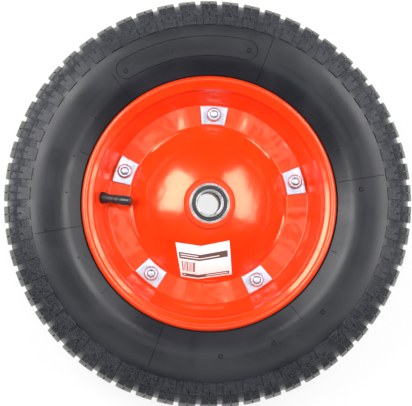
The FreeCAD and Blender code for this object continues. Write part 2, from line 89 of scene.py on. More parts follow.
def bent_line(corners: Sequence[Corner], arc_step: float = 4.0, closed: bool = False) -> List[Point]:
    """Round the corners of a line.

    Args:
        corners: The corners, each a radius, a height and the bend's own radius.
        arc_step: The largest turn between two points of a bend, in degrees.
        closed: Whether the last corner joins the first one.

    Returns:
        The line's points.
    """
    points: List[Point] = []
    count = len(corners)
    for index, (radius, height, bend) in enumerate(corners):
        if bend <= 0 or (not closed and index in (0, count - 1)):
            points.append((radius, height))
            continue
        corner = Vector((radius, height))
        before = (Vector(corners[index - 1][:2]) - corner).normalized()
        after = (Vector(corners[(index + 1) % count][:2]) - corner).normalized()
        half = before.angle(after) / 2
        centre = corner + (before + after).normalized() * bend / math.sin(half)
        spoke = corner + before * bend / math.tan(half) - centre
        turn = math.pi - 2 * half
        if before.x * after.y - before.y * after.x > 0:
            turn = -turn
        steps = max(2, math.ceil(abs(math.degrees(turn)) / arc_step))
        for step in range(steps + 1):
            spot = centre + Matrix.Rotation(turn * step / steps, 2) @ spoke
            points.append((spot.x, spot.y))
    return points


def beside(line: Sequence[Point], distance: float) -> List[Point]:
    """Move an open line sideways.

    Args:
        line: The line's points.
        distance: How far to move it to its left, seen along its way.

    Returns:
        The moved line's points.
    """
    moved: List[Point] = []
    last = len(line) - 1
    for index, point in enumerate(line):
        here = Vector(point)
        ways = []
        if index > 0:
            ways.append((here - Vector(line[index - 1])).normalized())
        if index < last:
            ways.append((Vector(line[index + 1]) - here).normalized())
        way = sum(ways, Vector((0, 0))).normalized()
        reach = distance / max(0.2, way.dot(ways[0]))
        moved.append((here.x - way.y * reach, here.y + way.x * reach))
    return moved


def sheet_outline(line: Sequence[Point], thickness: float) -> List[Point]:
    """The closed outline of a sheet, from the line along its middle."""
    return beside(line, thickness / 2) + beside(line, -thickness / 2)[::-1]


def both_sides(half: Sequence[Corner]) -> List[Corner]:
    """A closed outline's corners, from those of its +Z half."""
    return list(half) + [(radius, -height, bend) for radius, height, bend in reversed(half)]


def height_at(line: Sequence[Point], radius: float) -> float:
    """The height of the first run of a line that crosses a radius.

    Args:
        line: The line's points.
        radius: The radius.

    Returns:
        The height there.
    """
    for (r0, z0), (r1, z1) in zip(line, line[1:]):
        if min(r0, r1) <= radius <= max(r0, r1) and r0 != r1:
            return z0 + (z1 - z0) * (radius - r0) / (r1 - r0)
    raise ValueError(f"no run crosses radius {radius}")


# The bench: modelling operators, each run on one piece by itself

def take(piece: Piece) -> None:
    """Deselect everything, then select one piece and make it active.

    Args:
        piece: The piece.
    """
    bpy.ops.object.select_all(action="DESELECT")
    piece.select_set(True)
    bpy.context.view_layer.objects.active = piece


@contextmanager
def editing(piece: Piece) -> Iterator[None]:
    """Edit mode on one piece, with all of its mesh selected at the start.

    Args:
        piece: The piece.

    Returns:
        A context that leaves edit mode at its end.
    """
    take(piece)
    bpy.ops.object.mode_set(mode="EDIT")
    bpy.ops.mesh.select_all(action="SELECT")
    yield
    bpy.ops.object.mode_set(mode="OBJECT")


def sweep(angle: float, steps: int, as_copies: bool = False) -> None:
    """Spin what is selected about the axle, as one swept shape or as copies, in edit mode."""
    bpy.ops.mesh.spin(steps=steps, dupli=as_copies, angle=math.radians(angle), center=(0, 0, 0),
                      axis=(0, 0, 1))


def close_shell() -> None:
    """Merge doubles and turn the faces outwards, in edit mode."""
    bpy.ops.mesh.select_all(action="SELECT")
    bpy.ops.mesh.remove_doubles(threshold=0.002 * MM)
    bpy.ops.mesh.dissolve_degenerate(threshold=0.001 * MM)
    bpy.ops.mesh.normals_make_consistent(inside=False)


def pick_faces(piece: Piece, rule: Callable[[Vector, Vector], bool]) -> None:
    """Select the faces that a rule picks, in edit mode.

    Args:
        piece: The piece.
        rule: Takes a face's middle, in millimetres, and its normal.
    """
    bpy.ops.mesh.select_all(action="DESELECT")
    shape = bmesh.from_edit_mesh(piece.data)
    for face in shape.faces:
        if rule(face.calc_center_median() / MM, face.normal):
            face.select_set(True)
    bmesh.update_edit_mesh(piece.data)


def pick_rims(piece: Piece, sharpness: float, rule: Callable[[Vector], bool]) -> None:
    """Select the sharp convex edges that a rule picks, in edit mode.

    Args:
        piece: The piece.
        sharpness: The least angle between an edge's faces.
        rule: Takes an edge's middle, in millimetres.
    """
    bpy.ops.mesh.select_all(action="DESELECT")
    bpy.context.tool_settings.mesh_select_mode = (False, True, False)
    shape = bmesh.from_edit_mesh(piece.data)
    limit = math.radians(sharpness)
    for edge in shape.edges:
        if len(edge.link_faces) == 2 and edge.is_convex and edge.calc_face_angle(0) > limit:
            if rule((edge.verts[0].co + edge.verts[1].co) / (2 * MM)):
                edge.select_set(True)
    bmesh.update_edit_mesh(piece.data)


def shift_picked(piece: Piece, way: Callable[[Vector], Vector]) -> None:
    """Move each selected vertex, in edit mode.

    Args:
        piece: The piece.
        way: Gives the move for a vertex's place, both in millimetres.
    """
    shape = bmesh.from_edit_mesh(piece.data)
    for vertex in shape.verts:
        if vertex.select:
            vertex.co += way(vertex.co / MM) * MM
    bmesh.update_edit_mesh(piece.data)


def outlined(name: str, outline: Sequence[Point], filled: bool) -> Piece:
    """A section in the plane of X and Z, from a circle primitive whose vertices go onto the outline.

    Args:
        name: The piece's name.
        outline: The section's points.
        filled: Whether it gets a face.

    Returns:
        The new piece.
    """
    bpy.ops.object.select_all(action="DESELECT")
    fill = "NGON" if filled else "NOTHING"
    bpy.ops.mesh.primitive_circle_add(vertices=len(outline), radius=MM, fill_type=fill)
    piece = bpy.context.object
    piece.name = name
    piece.data.name = name
    for vertex, (radius, height) in zip(piece.data.vertices, outline):
        vertex.co = Vector((radius, 0, height)) * MM
    return piece


def spun(name: str, outline: Sequence[Point], steps: int, angle: float = 360.0) -> Piece:
    """The solid that a closed outline sweeps about the axle.

    Args:
        name: The piece's name.
        outline: The section's points.
        steps: The number of stretches along the sweep.
        angle: The sweep's angle, which is centred on the X axis when it isn't a full turn.

    Returns:
        The new piece.
    """
    partial = angle < 360
    piece = outlined(name, outline, filled=partial)
    with editing(piece):
        sweep(angle, steps)
        close_shell()
    if partial:
        far = max(piece.data.vertices, key=lambda vertex: abs(vertex.co.y)).co
        turn = -math.copysign(math.radians(angle / 2), far.y)
        place(piece, Matrix.Rotation(turn, 4, "Z"))
    return piece


def place(piece: Piece, matrix: Matrix) -> Piece:
    """Move a piece's mesh, with its object left at the origin."""
    piece.data.transform(matrix)
    return piece


def copied(piece: Piece, name: str, matrix: Matrix) -> Piece:
    """A copy with a mesh of its own, at another place.

    Args:
        piece: The piece to copy.
        name: The copy's name.
        matrix: The move to its place.

    Returns:
        The copy.
    """
    twin = piece.copy()
    twin.data = piece.data.copy()
    twin.name = name
    bpy.context.scene.collection.objects.link(twin)
    return place(twin, matrix)


def turned_to(angle: float) -> Matrix:
    """A turn about the axle."""
    return Matrix.Rotation(math.radians(angle), 4, "Z")


def joined(name: str, pieces: Sequence[Piece]) -> Piece:
    """One piece made of several.

    Args:
        name: The piece's name.
        pieces: The pieces, of which the first one stays.

    Returns:
        The joined piece.
    """
    take(pieces[0])
    for piece in pieces[1:]:
        piece.select_set(True)
    if len(pieces) > 1:
        bpy.ops.object.join()
    pieces[0].name = name
    pieces[0].data.name = name
    return pieces[0]


def ring_of(name: str, piece: Piece, count: int, first_angle: float) -> Piece:
    """Copies of a piece, evenly spaced about the axle and joined.

    Args:
        name: The piece's name.
        piece: The piece, which is used up.
        count: The number of copies.
        first_angle: The turn of the first one.

    Returns:
        The joined copies.
    """
    copies = [copied(piece, name, turned_to(first_angle + 360 * index / count)) for index in range(count)]
    bpy.data.objects.remove(piece)
    return joined(name, copies)


def applied(piece: Piece, kind: str, **settings) -> Piece:
    """Put a modifier on a piece and apply it.

    Args:
        piece: The piece.
        kind: The modifier's type.
        settings: Its own properties.

    Returns:
        The piece.
    """
    modifier = piece.modifiers.new(kind.lower(), kind)
    for key, value in settings.items():
        setattr(modifier, key, value)
    take(piece)
    bpy.ops.object.modifier_apply(modifier=modifier.name)
    return piece


def combined(piece: Piece, tool: Piece, operation: str) -> Piece:
    """Combine a piece with the volume of another one.

    Args:
        piece: The piece.
        tool: The other one, which is used up.
        operation: What is done with it.

    Returns:
        The piece.
    """
    applied(piece, "BOOLEAN", object=tool, operation=operation, solver="EXACT")
    bpy.data.objects.remove(tool)
    return piece


def cut_away(piece: Piece, tools: Sequence[Piece]) -> Piece:
    """Cut the volume of other pieces out of one, and remove those."""
    return combined(piece, joined("cutting_tool", tools), "DIFFERENCE")


def bevelled(piece: Piece, width: float, segments: int = 2, sharpness: float = 30.0) -> Piece:
    """Round a piece's sharp edges.

    Args:
        piece: The piece.
        width: The bevel's width.
        segments: Its number of steps.
        sharpness: The least angle between an edge's faces.

    Returns:
        The piece.
    """
    with editing(piece):
        pick_rims(piece, sharpness, lambda middle: True)
        bpy.ops.mesh.bevel(offset=width * MM, segments=segments, affect="EDGES")
    return piece


def drill(radius: float, length: float, matrix: Matrix) -> Piece:
    """A cutting cylinder, centred on its place.

    Args:
        radius: Its radius.
        length: Its length.
        matrix: The move to its place.

    Returns:
        The cylinder.
    """
    bpy.ops.object.select_all(action="DESELECT")
    bpy.ops.mesh.primitive_cylinder_add(vertices=48, radius=radius * MM, depth=length * MM)
    return place(bpy.context.object, matrix)


def smoothed(piece: Piece, angle: float = 35.0) -> Piece:
    """Shade a piece smooth, apart from its sharp edges.

    Args:
        piece: The piece.
        angle: The angle from which an edge is sharp.

    Returns:
        The piece.
    """
    take(piece)
    bpy.ops.object.shade_smooth_by_angle(angle=math.radians(angle))
    return piece


def merged_copy(node: str, name: str) -> Piece:
    """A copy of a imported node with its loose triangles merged.

    Args:
        node: The node's name.
        name: The copy's name.

    Returns:
        The copy.
    """
    piece = copied(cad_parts[node], name, Matrix.Identity(4))
    for key in list(piece.keys()):
        del piece[key]
    piece.parent = None
    with editing(piece):
        bpy.ops.mesh.remove_doubles(threshold=0.001 * MM)
    return piece


def dressed(piece: Piece, body: str, nodes: Sequence[str], finish: Material) -> Piece:
    """Finish a piece: smooth shading, one material, and its place in the frame.

    Args:
        piece: The finished mesh.
        body: The body that it rides on.
        nodes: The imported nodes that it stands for.
        finish: Its material.

    Returns:
        The piece.
    """
    smoothed(piece)
    piece.data.materials.clear()
    piece.data.materials.append(finish)
    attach(piece, body)
    if nodes:
        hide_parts(*nodes)
    log.info("%s: %d faces on %s", piece.name, len(piece.data.polygons), body)
    return piece


# Finishes

class Graph:
    """A node tree that is being wired."""

    def __init__(self, tree: NodeTree) -> None:
        """Keep the tree."""
        self.tree = tree

    def fill(self, node: Node, inputs: Dict) -> Node:
        """Fill a node's sockets.

        Args:
            node: The node.
            inputs: Its sockets by name or number, each with a value or another node's output.

        Returns:
            The node.
        """
        for key, value in inputs.items():
            if isinstance(value, Socket):
                self.tree.links.new(value, node.inputs[key])
            else:
                node.inputs[key].default_value = value
        return node

    def put(self, kind: str, inputs: Optional[Dict] = None, **settings) -> Node:
        """Add a node.

        Args:
            kind: The node's type without its common prefix.
            inputs: Its sockets by name or number, each with a value or another node's output.
            settings: Its own properties.

        Returns:
            The node.
        """
        node = self.tree.nodes.new("ShaderNode" + kind)
        for key, value in settings.items():
            setattr(node, key, value)
        return self.fill(node, inputs or {})

    def effect(self, group: NodeTree, inputs: Dict) -> Node:
        """Add a shared effect.

        Args:
            group: The effect's node tree.
            inputs: Its sockets, as for fill.

        Returns:
            The effect's node.
        """
        node = self.tree.nodes.new("ShaderNodeGroup")
        node.node_tree = group
        return self.fill(node, inputs)

    def maths(self, operation: str, first: Level, second: Level = 0.0) -> Socket:
        """The result of a sum on two numbers or sockets."""
        return self.put("Math", {0: first, 1: second}, operation=operation).outputs[0]

    def tint(self, factor: Level, first: Tone, second: Tone) -> Socket:
        """A mix of two colours.

        Args:
            factor: The second one's share.
            first: The first one.
            second: The second one.

        Returns:
            The mixed colour.
        """
        colours = [value if isinstance(value, Socket) else (*value, 1.0) for value in (first, second)]
        node = self.put("Mix", {0: factor, 6: colours[0], 7: colours[1]}, data_type="RGBA")
        return node.outputs[2]

    def ramp(self, value: Socket, low: float, high: float, start: float = 0.0, end: float = 1.0) -> Socket:
        """A value's range mapped smoothly onto another one.

        Args:
            value: The value.
            low: Where its range starts.
            high: Where its range ends.
            start: What the low end gives.
            end: What the high end gives.

        Returns:
            The mapped value.
        """
        inputs = {"Value": value, "From Min": low, "From Max": high, "To Min": start, "To Max": end}
        return self.put("MapRange", inputs, interpolation_type="SMOOTHSTEP").outputs["Result"]


def new_effect(
    name: str, inputs: Dict[str, Tuple[str, Optional[float]]], outputs: Sequence[str]
) -> Tuple[Graph, Node, Node]:
    """Start a shared effect.

    Args:
        name: The group's name.
        inputs: Each input's socket type and default.
        outputs: The names of its outputs, which are all numbers.

    Returns:
        The graph, the group's input node and its output node.
    """
    tree = bpy.data.node_groups.new(name, "ShaderNodeTree")
    for label, (kind, default) in inputs.items():
        socket = tree.interface.new_socket(name=label, in_out="INPUT", socket_type=kind)
        if default is not None:
            socket.default_value = default
    for label in outputs:
        tree.interface.new_socket(name=label, in_out="OUTPUT", socket_type="NodeSocketFloat")
    return Graph(tree), tree.nodes.new("NodeGroupInput"), tree.nodes.new("NodeGroupOutput")


FLOAT = "NodeSocketFloat"
VECTOR = "NodeSocketVector"


def make_grain() -> NodeTree:
    """Fine noise: a height about zero and a mask.

    Returns:
        The group.
    """
    graph, start, end = new_effect(
        "Grain", {"Vector": (VECTOR, None), "Scale": (FLOAT, 900.0), "Detail": (FLOAT, 3.0)},
        ("Height", "Mask"),
    )
    noise = graph.put("TexNoise", {
        "Vector": start.outputs["Vector"], "Scale": start.outputs["Scale"], "Detail": start.outputs["Detail"],
        "Roughness": 0.6,
    })
    level = noise.outputs["Fac"]
    graph.fill(end, {"Height": graph.maths("SUBTRACT", level, 0.5), "Mask": graph.ramp(level, 0.42, 0.62)})
    return graph.tree


def make_blotches() -> NodeTree:
    """Broad soft patches, such as dust, handling marks or an uneven pressing.

    Returns:
        The group.
    """
    graph, start, end = new_effect(
        "Blotches", {"Vector": (VECTOR, None), "Scale": (FLOAT, 20.0), "Stretch": (FLOAT, 0.6)},
        ("Height", "Mask"),
    )
    noise = graph.put("TexNoise", {
        "Vector": start.outputs["Vector"], "Scale": start.outputs["Scale"], "Detail": 2.0, "Roughness": 0.45,
        "Distortion": start.outputs["Stretch"],
    })
    level = noise.outputs["Fac"]
    graph.fill(end, {"Height": level, "Mask": graph.ramp(level, 0.38, 0.64)})
    return graph.tree


def make_turning() -> NodeTree:
    """Fine rings about the Z axis, as a lathe or a grinding wheel leaves them.

    Returns:
        The group.
    """
    graph, start, end = new_effect(
        "Turning", {"Vector": (VECTOR, None), "Scale": (FLOAT, 4000.0)}, ("Height", "Mask")
    )
    height = graph.put("SeparateXYZ", {0: start.outputs["Vector"]}).outputs["Z"]
    along = graph.put("CombineXYZ", {"X": radius_of(graph, start.outputs["Vector"]), "Y": height})
    noise = graph.put("TexNoise", {
        "Vector": along.outputs[0], "Scale": start.outputs["Scale"], "Detail": 2.0, "Roughness": 0.7,
    })
    level = noise.outputs["Fac"]
    graph.fill(end, {"Height": graph.maths("SUBTRACT", level, 0.5), "Mask": graph.ramp(level, 0.35, 0.65)})
    return graph.tree


def new_material(name: str) -> Tuple[Material, Graph, Node, Socket]:
    """Start a material.

    Args:
        name: The material's name.

    Returns:
        The material, its graph, its shader node and the Object coordinates.
    """
    material = bpy.data.materials.new(name)
    material.use_nodes = True
    graph = Graph(material.node_tree)
    shader = material.node_tree.nodes["Principled BSDF"]
    where = graph.put("TexCoord").outputs["Object"]
    return material, graph, shader, where


def radius_of(graph: Graph, where: Socket) -> Socket:
    """The distance of a place from the axle, in metres.

    Args:
        graph: The graph.
        where: The place.

    Returns:
        The distance.
    """
    split = graph.put("SeparateXYZ", {0: where})
    squares = [graph.maths("POWER", split.outputs[axis], 2.0) for axis in ("X", "Y")]
    return graph.maths("SQRT", graph.maths("ADD", *squares))


@dataclass(frozen=True)
class Effects:
    """The shared effects, each built once."""

    grain: NodeTree
    blotches: NodeTree
    turning: NodeTree


@dataclass(frozen=True)
class RubberFinish:
    """Moulded rubber with a fine grain, a pale speckle mostly outside one radius, and a worn tread outside
    another. The speckle is dust, and on a tyre's tread it is also painted sheen for the light that the lug
    faces catch.
    """

    name: str
    deep: Colour
    pale: Colour
    smooth: float
    rough: float
    grain_scale: float
    grain_depth: float
    dust_and_sheen: float
    dust_and_sheen_from: float = 0.0
    specular: float = 0.5
    worn_from: float = 1000.0
    worn: Colour = (0.036, 0.037, 0.031)
    # The speckle's pale blue-grey: dust, and on the tyre's tread also painted sheen.
    dust_and_sheen_colour: Colour = (0.34, 0.35, 0.39)
    patch_scale: float = 24.0
    clean_share: float = 0.1

    def make(self, effects: Effects) -> Material:
        """Build the material.

        Args:
            effects: The shared effects.

        Returns:
            The material.
        """
        material, graph, shader, where = new_material(self.name)
        grain = graph.effect(effects.grain, {"Vector": where, "Scale": self.grain_scale})
        patches = graph.effect(effects.blotches, {"Vector": where, "Scale": self.patch_scale})
        radius = radius_of(graph, where)
        start = self.dust_and_sheen_from * MM
        outside = graph.ramp(radius, start, start + MM, self.clean_share, 1.0)
        # Pale speckle: dust, strongest outside the start radius, where on the tyre it is also painted sheen
        # on the lug faces.
        dust_and_sheen = graph.maths("MULTIPLY", graph.maths("MULTIPLY", grain.outputs["Mask"], outside), self.dust_and_sheen)
        colour = graph.tint(patches.outputs["Mask"], self.deep, self.pale)
        colour = graph.tint(dust_and_sheen, colour, self.dust_and_sheen_colour)
        trodden = graph.ramp(radius, self.worn_from * MM, (self.worn_from + 1.5) * MM)
        colour = graph.tint(trodden, colour, self.worn)
        roughness = graph.ramp(patches.outputs["Height"], 0.3, 0.7, self.smooth, self.rough)
        bump = graph.put("Bump", {"Height": grain.outputs["Height"], "Distance": self.grain_depth * MM})
        graph.fill(shader, {"Base Color": colour, "Roughness": roughness, "Normal": bump.outputs["Normal"],
                            "Specular IOR Level": self.specular})
        return material


@dataclass(frozen=True)
class EnamelFinish:
    """Glossy baked enamel on a pressed sheet, which bows between the clamps of its flat ring."""

    name: str
    colour: Colour
    shade: Colour
    sheen: Colour = (1.0, 0.8, 0.47)
    gloss: float = 0.2
    coat_weight: float = 0.3
    coat_gloss: float = 0.14
    ring_inner: float = 68.0
    ring_outer: float = 90.0
    clamps: int = 5
    first_clamp: float = 14.5
    wave_scale: float = 34.0
    wave_depth: float = 4.0
    dome_share: float = 0.3
    peel_scale: float = 650.0
    peel_depth: float = 0.005

    def bowing(self, graph: Graph, where: Socket) -> Socket:
        """How much the sheet is bowed: little on the dome, and most midway between two clamps of the ring.

        Args:
            graph: The material's graph.
            where: The place.

        Returns:
            The share of the waves' full depth.
        """
        radius = radius_of(graph, where)
        on_ring = graph.maths(
            "MULTIPLY",
            graph.ramp(radius, (self.ring_inner - 1.5) * MM, (self.ring_inner + 1.5) * MM),
            graph.ramp(radius, (self.ring_outer - 1.5) * MM, (self.ring_outer + 4.0) * MM, 1.0, 0.0),
        )
        split = graph.put("SeparateXYZ", {0: where})
        turn = graph.maths("ARCTAN2", split.outputs["Y"], split.outputs["X"])
        phase = graph.maths("SUBTRACT", turn, math.radians(self.first_clamp + 180 / self.clamps))
        between = graph.maths("COSINE", graph.maths("MULTIPLY", phase, float(self.clamps)))
        share = graph.maths("MULTIPLY", on_ring, graph.ramp(between, -0.2, 0.8))
        return graph.maths("ADD", share, self.dome_share)

    def make(self, effects: Effects) -> Material:
        """Build the material.

        Args:
            effects: The shared effects.

        Returns:
            The material.
        """
        material, graph, shader, where = new_material(self.name)
        waves = graph.effect(effects.blotches, {"Vector": where, "Scale": self.wave_scale, "Stretch": 0.2})
        peel = graph.effect(effects.grain, {"Vector": where, "Scale": self.peel_scale, "Detail": 1.0})
        colour = graph.tint(waves.outputs["Mask"], self.colour, self.shade)
        roughness = graph.ramp(peel.outputs["Mask"], 0.0, 1.0, self.gloss, self.gloss * 1.2)
        height = graph.maths("MULTIPLY", waves.outputs["Height"], self.bowing(graph, where))
        wavy = graph.put("Bump", {"Height": height, "Distance": self.wave_depth * MM})
        normal = graph.put("Bump", {
            "Height": peel.outputs["Height"], "Distance": self.peel_depth * MM,
            "Normal": wavy.outputs["Normal"],
        }).outputs["Normal"]
        graph.fill(shader, {
            "Base Color": colour, "Roughness": roughness, "Normal": normal, "Coat Normal": normal,
            "Specular IOR Level": 1.0, "Specular Tint": (*self.sheen, 1.0),
            "Coat Weight": self.coat_weight, "Coat Roughness": self.coat_gloss,
        })
        return material


@dataclass(frozen=True)
class MetalFinish:
    """Bare or plated metal, either grained or turned."""

    name: str
    colour: Colour
    stain: Colour
    smooth: float
    rough: float
    turned: bool
    mark_scale: float
    mark_depth: float
    stain_scale: float = 130.0

    def make(self, effects: Effects) -> Material:
        """Build the material.

        Args:
            effects: The shared effects.

        Returns:
            The material.
        """
        material, graph, shader, where = new_material(self.name)
        group = effects.turning if self.turned else effects.grain
        marks = graph.effect(group, {"Vector": where, "Scale": self.mark_scale})
        patches = graph.effect(effects.blotches, {"Vector": where, "Scale": self.stain_scale})
        colour = graph.tint(patches.outputs["Mask"], self.colour, self.stain)
        roughness = graph.ramp(marks.outputs["Mask"], 0.0, 1.0, self.smooth, self.rough)
        bump = graph.put("Bump", {"Height": marks.outputs["Height"], "Distance": self.mark_depth * MM})
        graph.fill(shader, {"Base Color": colour, "Roughness": roughness, "Normal": bump.outputs["Normal"],
                            "Metallic": 1.0})
        return material


@dataclass(frozen=True)
class PrintedPaper:
    """A white label with plain fields and bars, placed by the label's own UV map.

    Each box is its lowest u, highest u, lowest v and highest v.
    """

    name: str
    paper: Colour = (0.97, 0.96, 0.95)
    ink: Colour = (0.135, 0.083, 0.072)
    bar_ink: Colour = (0.32, 0.18, 0.17)
    bar_count: float = 58.0
    bar_share: float = 0.6
    fibre_scale: float = 2200.0
    fibre_depth: float = 0.01
    smooth: float = 0.45
    rough: float = 0.6
    bar_box: Box = (0.07, 0.40, 0.19, 0.48)
    bands: Tuple[Box, ...] = ((0.035, 0.955, 0.545, 0.735), (0.045, 0.965, 0.035, 0.125))
    band_lines: Tuple[Box, ...] = (
        (0.07, 0.46, 0.665, 0.69), (0.07, 0.82, 0.6, 0.625),
        (0.08, 0.14, 0.068, 0.09), (0.62, 0.94, 0.068, 0.09),
    )

    def field(self, graph: Graph, u: Socket, v: Socket, box: Box) -> Socket:
        """A mask that is 1 inside a box.

        Args:
            graph: The material's graph.
            u: The place across the label.
            v: The place up the label.
            box: The box.

        Returns:
            The mask.
        """
        low_u, high_u, low_v, high_v = box
        mask = graph.maths("GREATER_THAN", u, low_u)
        others = (("LESS_THAN", u, high_u), ("GREATER_THAN", v, low_v), ("LESS_THAN", v, high_v))
        for operation, value, limit in others:
            mask = graph.maths("MULTIPLY", mask, graph.maths(operation, value, limit))
        return mask

    def make(self, effects: Effects) -> Material:
        """Build the material.

        Args:
            effects: The shared effects.

        Returns:
            The material.
        """
        material, graph, shader, where = new_material(self.name)
        print_place = graph.put("SeparateXYZ", {0: graph.put("TexCoord").outputs["UV"]})
        u, v = print_place.outputs["X"], print_place.outputs["Y"]
        column = graph.maths("FLOOR", graph.maths("MULTIPLY", u, self.bar_count))
        chance = graph.put("TexWhiteNoise", {"W": column}, noise_dimensions="1D").outputs["Value"]
        bars = graph.maths("MULTIPLY", self.field(graph, u, v, self.bar_box),
                           graph.maths("LESS_THAN", chance, self.bar_share))
        colour = graph.tint(bars, self.paper, self.bar_ink)
        for boxes, ink in ((self.bands, self.ink), (self.band_lines, self.paper)):
            for box in boxes:
                colour = graph.tint(self.field(graph, u, v, box), colour, ink)
        fibres = graph.effect(effects.grain, {"Vector": where, "Scale": self.fibre_scale})
        bump = graph.put("Bump", {"Height": fibres.outputs["Height"], "Distance": self.fibre_depth * MM})
        roughness = graph.ramp(fibres.outputs["Mask"], 0.0, 1.0, self.smooth, self.rough)
        graph.fill(shader, {"Base Color": colour, "Roughness": roughness, "Normal": bump.outputs["Normal"]})
        return material


# Sub-assemblies

@dataclass
class Tyre:
    """The moulded tyre: carcass, beads, shoulder lugs and crown blocks."""

    radius: float = 180.0
    half_width: float = 41.0
    widest_radius: float = 137.5
    widest_span: float = 19.0
    pitches: int = 58
    tread_depth: float = 3.0
    slit_depth: float = 2.0
    crown_gap: float = 1.65
    shoulder_gap: float = 2.4
    slit_width: float = 0.32
    groove_half_width: float = 1.5
    slit_start: float = 4.0
    crown_level: float = 14.56
    crown_bend: float = 60.0
    crown_edge: Point = (174.2, 28.0)
    groove_outer: Point = (169.0, 30.2)
    groove_inner: Point = (165.4, 32.6)
    lug_outer: Point = (165.5, 33.8)
    lug_inner: Point = (154.3, 39.2)
    notch_start: float = 162.4
    edge_bevel: float = 0.28
    slit_foot_share: float = 0.45
    crown_reach: float = 8.0
    bend_reach: float = 12.0
    foot_reach: float = 2.4
    lug_lean: float = 0.3
    lug_rise: Point = (1.0, 0.4)
    bead: Tuple[Corner, ...] = (
        (111.9, 31.2, 0.6), (110.8, 29.3, 0), (105.3, 28.5, 0), (101.7, 25.3, 0), (100.87, 18.1, 0),
    )
    inside: Tuple[Corner, ...] = (
        (103.87, 18.1, 0), (112.7, 26.93, 0), (128.0, 37.0, 26.0), (171.5, 37.0, 28.0), (171.5, 0, 0),
    )

    def crown_slope(self) -> float:
        """The angle between the crown's sloped edge and its level middle, in radians."""
        drop = self.radius - self.crown_edge[0]
        return math.atan2(drop, self.crown_edge[1] - self.crown_level)

    def outer_corners(self) -> List[Corner]:
        """The outside at the floor of the tread's gaps, from the centre groove to the bead's toe.

        Returns:
            The corners.
        """
        slope = self.crown_slope()
        edge_radius = self.crown_edge[0] - self.tread_depth * math.cos(slope)
        edge_height = self.crown_edge[1] - self.tread_depth * math.sin(slope)
        level = self.crown_level - self.tread_depth * math.tan(slope / 2)
        floor = self.radius - self.tread_depth
        foot_radius, foot_height = self.groove_outer
        slit_foot = (
            foot_radius + (edge_radius - foot_radius) * self.slit_foot_share,
            foot_height + (edge_height - foot_height) * self.slit_foot_share,
        )
        lug_r0, lug_z0 = self.lug_outer
        lug_r1, lug_z1 = self.lug_inner
        notch_share = (lug_r0 - self.notch_start) / (lug_r0 - lug_r1)
        notch_height = lug_z0 + (lug_z1 - lug_z0) * notch_share
        return [
            (floor, self.groove_half_width, 0),
            (floor, level, self.crown_bend - self.tread_depth),
            (edge_radius, edge_height, 0),
            (*slit_foot, 0),
            (foot_radius, foot_height, 0),
            (*self.groove_inner, 0),
            (lug_r0, lug_z0, 0),
            (self.notch_start, notch_height, 0),
            ((self.notch_start + lug_r1) / 2, (notch_height + lug_z1) / 2, 0),
            *self.wall_corners(),
        ]

    def wall_corners(self) -> List[Corner]:
        """The outside from the lugs' inner end to the bead's toe.

        Returns:
            The corners.
        """
        return [
            (*self.lug_inner, 0),
            (self.widest_radius + self.widest_span / 2, self.half_width, 50.0),
            (self.widest_radius - self.widest_span / 2, self.half_width, 30.0),
            *self.bead,
        ]

    def section(self) -> List[Point]:
        """The whole closed outline, with the hidden inside in longer steps."""
        half = bent_line(self.outer_corners(), 2.6) + bent_line(self.inside, 15.0)[:-1]
        return half + [(radius, -height) for radius, height in reversed(half)]

    def sidewall(self) -> List[Point]:
        """The visible line of the +Z sidewall, from the lugs to the rim."""
        return bent_line(self.wall_corners()[:-3], 3.0)

    def columns(self) -> List[Tuple[float, int]]:
        """The stretches of one pitch from the middle of a gap, each an angle and its number of steps.

        Returns:
            The stretches.
        """
        pitch = 360 / self.pitches
        gap = self.crown_gap / 2
        lug = (self.shoulder_gap - self.crown_gap) / 2
        slit = self.slit_width
        plain = (pitch - slit) / 2 - gap - lug
        return [(gap, 1), (lug, 1), (plain, 2), (slit, 1), (plain, 2), (lug, 1), (gap, 1)]

    def build_pitch(self) -> Piece:
        """One pitch of the whole section, with its floor level all over.

        Returns:
            The pitch.
        """
        piece = outlined("moulded_tyre", self.section(), filled=False)
        with editing(piece):
            for angle, steps in self.columns():
                sweep(angle, steps)
            close_shell()
        crown = max(piece.data.polygons, key=lambda face: math.hypot(face.center.x, face.center.y))
        if crown.normal.dot(crown.center) < 0:
            piece.data.flip_normals()
        return piece

    def share_of(self, middle: Vector) -> float:
        """A place's angle from the middle of a gap, in degrees, folded onto half a pitch.

        Args:
            middle: The place.

        Returns:
            The angle.
        """
        pitch = 360 / self.pitches
        turned = math.degrees(math.atan2(middle.y, middle.x)) % pitch
        return min(turned, pitch - turned)

    def is_crown(self, middle: Vector) -> bool:
        """Whether a face's middle lies on the floor of the crown, outside the centre groove."""
        radius = math.hypot(middle.x, middle.y)
        return radius > self.groove_outer[0] and self.groove_half_width < abs(middle.z) < self.groove_outer[1]

    def is_lug(self, middle: Vector) -> bool:
        """Whether a face's middle lies on the floor of the shoulder lugs."""
        radius = math.hypot(middle.x, middle.y)
        return self.lug_inner[0] < radius < self.lug_outer[0] and abs(middle.z) > self.groove_inner[1] + 0.5

    def in_slit(self, middle: Vector) -> bool:
        """Whether a face's middle lies on the slit's line."""
        return self.share_of(middle) > 180 / self.pitches - self.slit_width / 2

    def raise_crown(self, piece: Piece, height: float, keep_slit: bool) -> None:
        """Raise the crown's blocks by one step.

        Args:
            piece: The pitch.
            height: How far to raise them.
            keep_slit: Whether the slit stays at the level that it has.
        """
        slope = self.crown_slope()
        low = self.radius - self.tread_depth - self.crown_reach

        def on_block(middle: Vector, normal: Vector) -> bool:
            """Whether a face is the outer one of a block."""
            outward = normal.x * middle.x + normal.y * middle.y > 0 and math.hypot(middle.x, middle.y) > low
            if not (outward and self.is_crown(middle) and self.share_of(middle) > self.crown_gap / 2):
                return False
            flat = abs(normal.normalized().cross(Vector((middle.x, middle.y, 0)).normalized()).z) < 0.5
            slit = keep_slit and self.in_slit(middle) and abs(middle.z) > self.slit_start
            return flat and not slit

